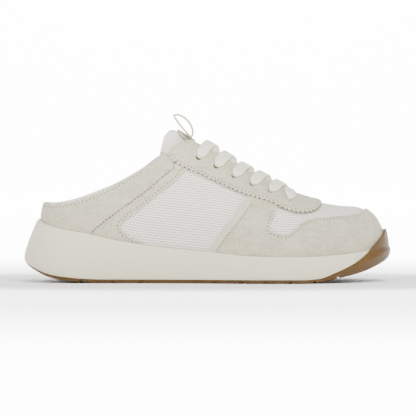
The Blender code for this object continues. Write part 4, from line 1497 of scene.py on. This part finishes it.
@dataclass(frozen=True)
class Knot:
    """A place the lace passes: pattern place, offset from the last, and width and thickness as shares."""

    across: float
    over: float
    offset: float
    wide: float = 1.0
    thick: float = 1.0

    def far(self) -> "Knot":
        """The same place on the other side of the throat."""
        return Knot(self.across, 2.0 - self.over, self.offset, self.wide, self.thick)


@dataclass
class Lacing:
    """One flat lace, crossed over the tongue from pair to pair and barred at the toe."""

    wardrobe: Wardrobe
    width: float = 8.6 * MM
    wall: float = 1.9 * MM
    samples: int = 9

    def crossing(self, number: int, lift: float) -> list[Knot]:
        """The lace from a near eyelet to the far one of the next pair, its knots in millimetres of offset."""
        (start, low), (end, low_next) = turned(LINES.eyelets)[number : number + 2]
        step = end - start
        last = number == len(LINES.eyelets) - 2
        reach = 1.0 if not last else 0.97
        return [
            Knot(start, low + 0.040, -2.7, 0.50, 0.7),
            Knot(start + 0.04 * step, low + 0.018, -0.6, 0.40, 0.9),
            Knot(start + 0.05 * step, low + 0.016, 1.9, 0.42, 0.9),
            Knot(start + 0.09 * step, low + 0.030, 3.40, 0.78, 1.0),
            Knot(start + 0.15 * step, low + 0.055, 3.70, 1.0, 1.05),
            Knot(start + 0.28 * step, low + 0.115, 3.65, 1.0, 1.05),
            Knot(start + 0.42 * step, 0.835, 3.45 + lift * 0.3, 1.0, 1.0),
            Knot(start + 0.55 * step, 0.920, 3.20 + lift * 0.8, 1.02, 1.0),
            Knot(start + 0.69 * step, 1.000, 2.85 + lift, 1.05, 1.0),
            Knot(start + 0.82 * step, 1.060, 2.35 + lift * 0.4, 1.02, 1.0),
            Knot(start + 0.94 * step * reach, 1.115, 0.80, 1.0, 1.0),
            Knot(end, 1.150, -1.00, 0.95, 0.8),
            Knot(end, 1.200, -2.65, 0.85, 0.6),
            Knot(end, 2.0 - low_next - 0.045, -2.75, 0.70, 0.6),
        ]

    def bar(self) -> list[Knot]:
        """The straight bar over the pair nearest the toe, from the far eyelet to the near one."""
        at, low = turned(LINES.eyelets)[-1]
        half = [
            Knot(at, low + 0.040, -2.7, 0.50, 0.7),
            Knot(at, low + 0.018, -0.6, 0.40, 0.9),
            Knot(at + 0.001, low + 0.016, 1.9, 0.42, 0.9),
            Knot(at + 0.002, low + 0.032, 3.40, 0.78, 1.0),
            Knot(at + 0.003, low + 0.065, 3.65, 1.0, 1.05),
            Knot(at + 0.004, low + 0.150, 3.30, 1.0, 1.0),
            Knot(at + 0.008, 0.880, 3.10, 1.0, 1.0),
        ]
        top = [Knot(at + 0.010, 1.0, 2.80, 1.0, 1.0)]
        return [knot.far() for knot in half] + top + half[::-1]

    def knots(self) -> list[Knot]:
        """The whole lace: down one way, over the bar and back up the other way."""
        down: list[Knot] = []
        back: list[Knot] = []
        for number in range(len(LINES.eyelets) - 1):
            even = number % 2 == 0
            first = self.crossing(number, 1.3 if even else 0.0)
            second = self.crossing(number, 0.0 if even else 1.3)
            down += first if even else [knot.far() for knot in first]
            back += [knot.far() for knot in second] if even else second
        return down + self.bar() + back[::-1]

    def build(self) -> bpy.types.Object:
        """Sweeps the lace's flat section along its way."""
        knots = self.knots()
        marks = np.arange(len(knots), dtype=float)
        at = np.linspace(0.0, marks[-1], (len(knots) - 1) * self.samples + 1)
        read = lambda values: curve(marks, values, at)
        across, over = read([k.across for k in knots]), read([k.over for k in knots])
        offset = read([k.offset for k in knots]) * MM
        wide, thick = read([k.wide for k in knots]) * self.width, read([k.thick for k in knots]) * self.wall
        middle = LAST.surface(across, over, offset)
        tangent = np.gradient(middle, axis=0)
        for _ in range(2):
            tangent[1:-1] = (tangent[:-2] + 2 * tangent[1:-1] + tangent[2:]) / 4.0
        tangent /= np.linalg.norm(tangent, axis=1, keepdims=True)
        forward = LAST.wall(across + 1e-3, over) - LAST.wall(across - 1e-3, over)
        side = forward - tangent * np.sum(forward * tangent, axis=1, keepdims=True)
        side /= np.linalg.norm(side, axis=1, keepdims=True)
        up = np.cross(tangent, side)
        length = np.concatenate([[0.0], np.cumsum(np.linalg.norm(np.diff(middle, axis=0), axis=1))])
        around = 16
        nodes = ("lace_bar", *(f"lace_crossing_{i}" for i in range(1, 6)))
        piece = Piece("shoelace", [self.wardrobe.lace], "lace", nodes, crease=60.0)
        count = len(at) - 1
        layer = piece.mesh.loops.layers.uv.new("pattern")
        flat = {}
        for vertex, i, j in grid(piece.mesh, count, around):
            angle = 2.0 * math.pi * (j % around) / around
            x = math.copysign(abs(math.cos(angle)) ** 0.35, math.cos(angle))
            y = math.copysign(abs(math.sin(angle)) ** 0.8, math.sin(angle)) * (1.0 - 0.25 * abs(x) ** 6)
            flat[vertex] = (length[i], x * wide[i] / 2.0)
            vertex.co = Vector(middle[i] + side[i] * (x * wide[i] / 2.0) + up[i] * (y * thick[i] / 2.0))
        lay_pattern(piece.mesh, layer, flat)
        piece.weld()
        bmesh.ops.holes_fill(piece.mesh, edges=piece.mesh.edges, sides=0)
        return piece.done()

    def painted_eyelet_shade(self) -> bpy.types.Object:
        """Dark discs of painted shade in the eyelets, under the lace."""
        piece = Piece("eyelet_shadows", [self.wardrobe.shade_disc], "suede")
        for across, over in eyelet_places():
            place, up = Vector(LAST.surface(across, over, 1.0 * MM)), Vector(LAST.normal(across, over))
            ahead = Vector(LAST.wall(across + 1e-3, over) - LAST.wall(across - 1e-3, over)).normalized()
            matrix = frame_matrix(place, ahead, up)
            # painted shade: a dark disc in each eyelet
            bmesh.ops.create_circle(piece.mesh, cap_ends=True, segments=20, radius=2.4 * MM, matrix=matrix)
        return piece.done()


@dataclass(frozen=True)
class Studio:
    """The pale floor, the soft light and the camera."""

    target: Place3 = (0.0000, 0.0, 0.0571)
    distance: float = 2.5
    lens: float = 277.0
    elevation: float = 1.2

    def floor(self) -> None:
        """A pale floor that curves up far behind the shoe; its glow is cut to black round the shoe as a painted contact
        shadow and is brighter away from it.
        """
        mesh = bmesh.new()
        bmesh.ops.create_grid(mesh, x_segments=2, y_segments=96, size=1.0)
        reach, bend = 2.6, 0.8
        for vertex in mesh.verts:
            run = (vertex.co.y + 1.0) * 3.4 - 2.6
            angle = min(max((run - reach) / bend, 0.0), math.pi / 2.0)
            rise = max(run - reach - bend * math.pi / 2.0, 0.0)
            rise += bend * (1.0 - math.cos(angle))
            vertex.co = (vertex.co.x * 4.0, min(run, reach) + bend * math.sin(angle), rise)
        data = kept("floor", mesh)
        data.shade_smooth()
        sheet = Sheet(Finish("floor", "floor", (0.95, 0.95, 0.95), 0.9))
        x, y, _ = sheet.parts(sheet.object_place())
        # painted shadow: the glow fades to black in an ellipse round the shoe
        away = ((x / 0.172) * (x / 0.172) + (y / 0.090) * (y / 0.090)).step(1.5, 5.0)
        seen = (y.step(0.15, 0.6) + (y * -1.0).step(0.35, 1.0)) * ((x * x).step(0.35, 0.9) * -1.0 + 1.0)
        far = sheet.mix(seen, (0.25, 0.25, 0.25), (1.0, 1.0, 1.0))
        sheet.feed("Emission Color", sheet.mix(away, (0.0, 0.0, 0.0), far))
        sheet.set("Emission Strength", 12.0)
        data.materials.append(sheet.material)
        linked("floor", data)

    def light(self) -> None:
        """A wide soft light above, a weaker one in front and a bright room."""
        for name, place, size, power in (
            ("key", (0.30, -0.80, 1.25), 0.7, 25.0),
            ("fill", (-0.9, -0.9, 0.5), 1.2, 4.6),
            ("back", (0.1, 0.9, 0.9), 1.2, 7.0),
        ):
            data = bpy.data.lights.new(name, "AREA")
            data.size, data.energy = size, power
            lamp = linked(name, data)
            lamp.location = place
            lamp.rotation_euler = (Vector(self.target) - Vector(place)).to_track_quat("-Z", "Y").to_euler()
        world = bpy.data.worlds.new("room")
        world.use_nodes = True
        background = world.node_tree.nodes["Background"]
        background.inputs["Color"].default_value = (1.0, 1.0, 1.0, 1.0)
        background.inputs["Strength"].default_value = 0.78
        bpy.context.scene.world = world

    def camera(self) -> None:
        """A long lens, almost level with the shoe."""
        data = bpy.data.cameras.new("camera")
        data.sensor_width, data.lens, data.clip_end = 36.0, self.lens, 50.0
        angle = math.radians(self.elevation)
        made = linked("camera", data)
        target = Vector(self.target)
        made.location = target + Vector((0.0, -math.cos(angle), math.sin(angle))) * self.distance
        made.rotation_euler = (target - made.location).to_track_quat("-Z", "Y").to_euler()
        bpy.context.scene.camera = made

    def build(self) -> None:
        """Sets up the whole stage."""
        self.floor()
        self.light()
        self.camera()


def main() -> None:
    """Builds the shoe's looks round the frame."""
    logging.basicConfig(level=logging.INFO)
    wardrobe, sole = Wardrobe(), Sole()
    sole.outsole(wardrobe)
    sole.midsole(wardrobe)
    sole.insole(wardrobe)
    Upper(wardrobe).build()
    Tongue(wardrobe).build()
    Stitching(wardrobe).build()
    lacing = Lacing(wardrobe)
    lacing.build()
    lacing.painted_eyelet_shade()
    Studio().build()
    bpy.context.view_layer.update()


if __name__ == "__main__":
    main()
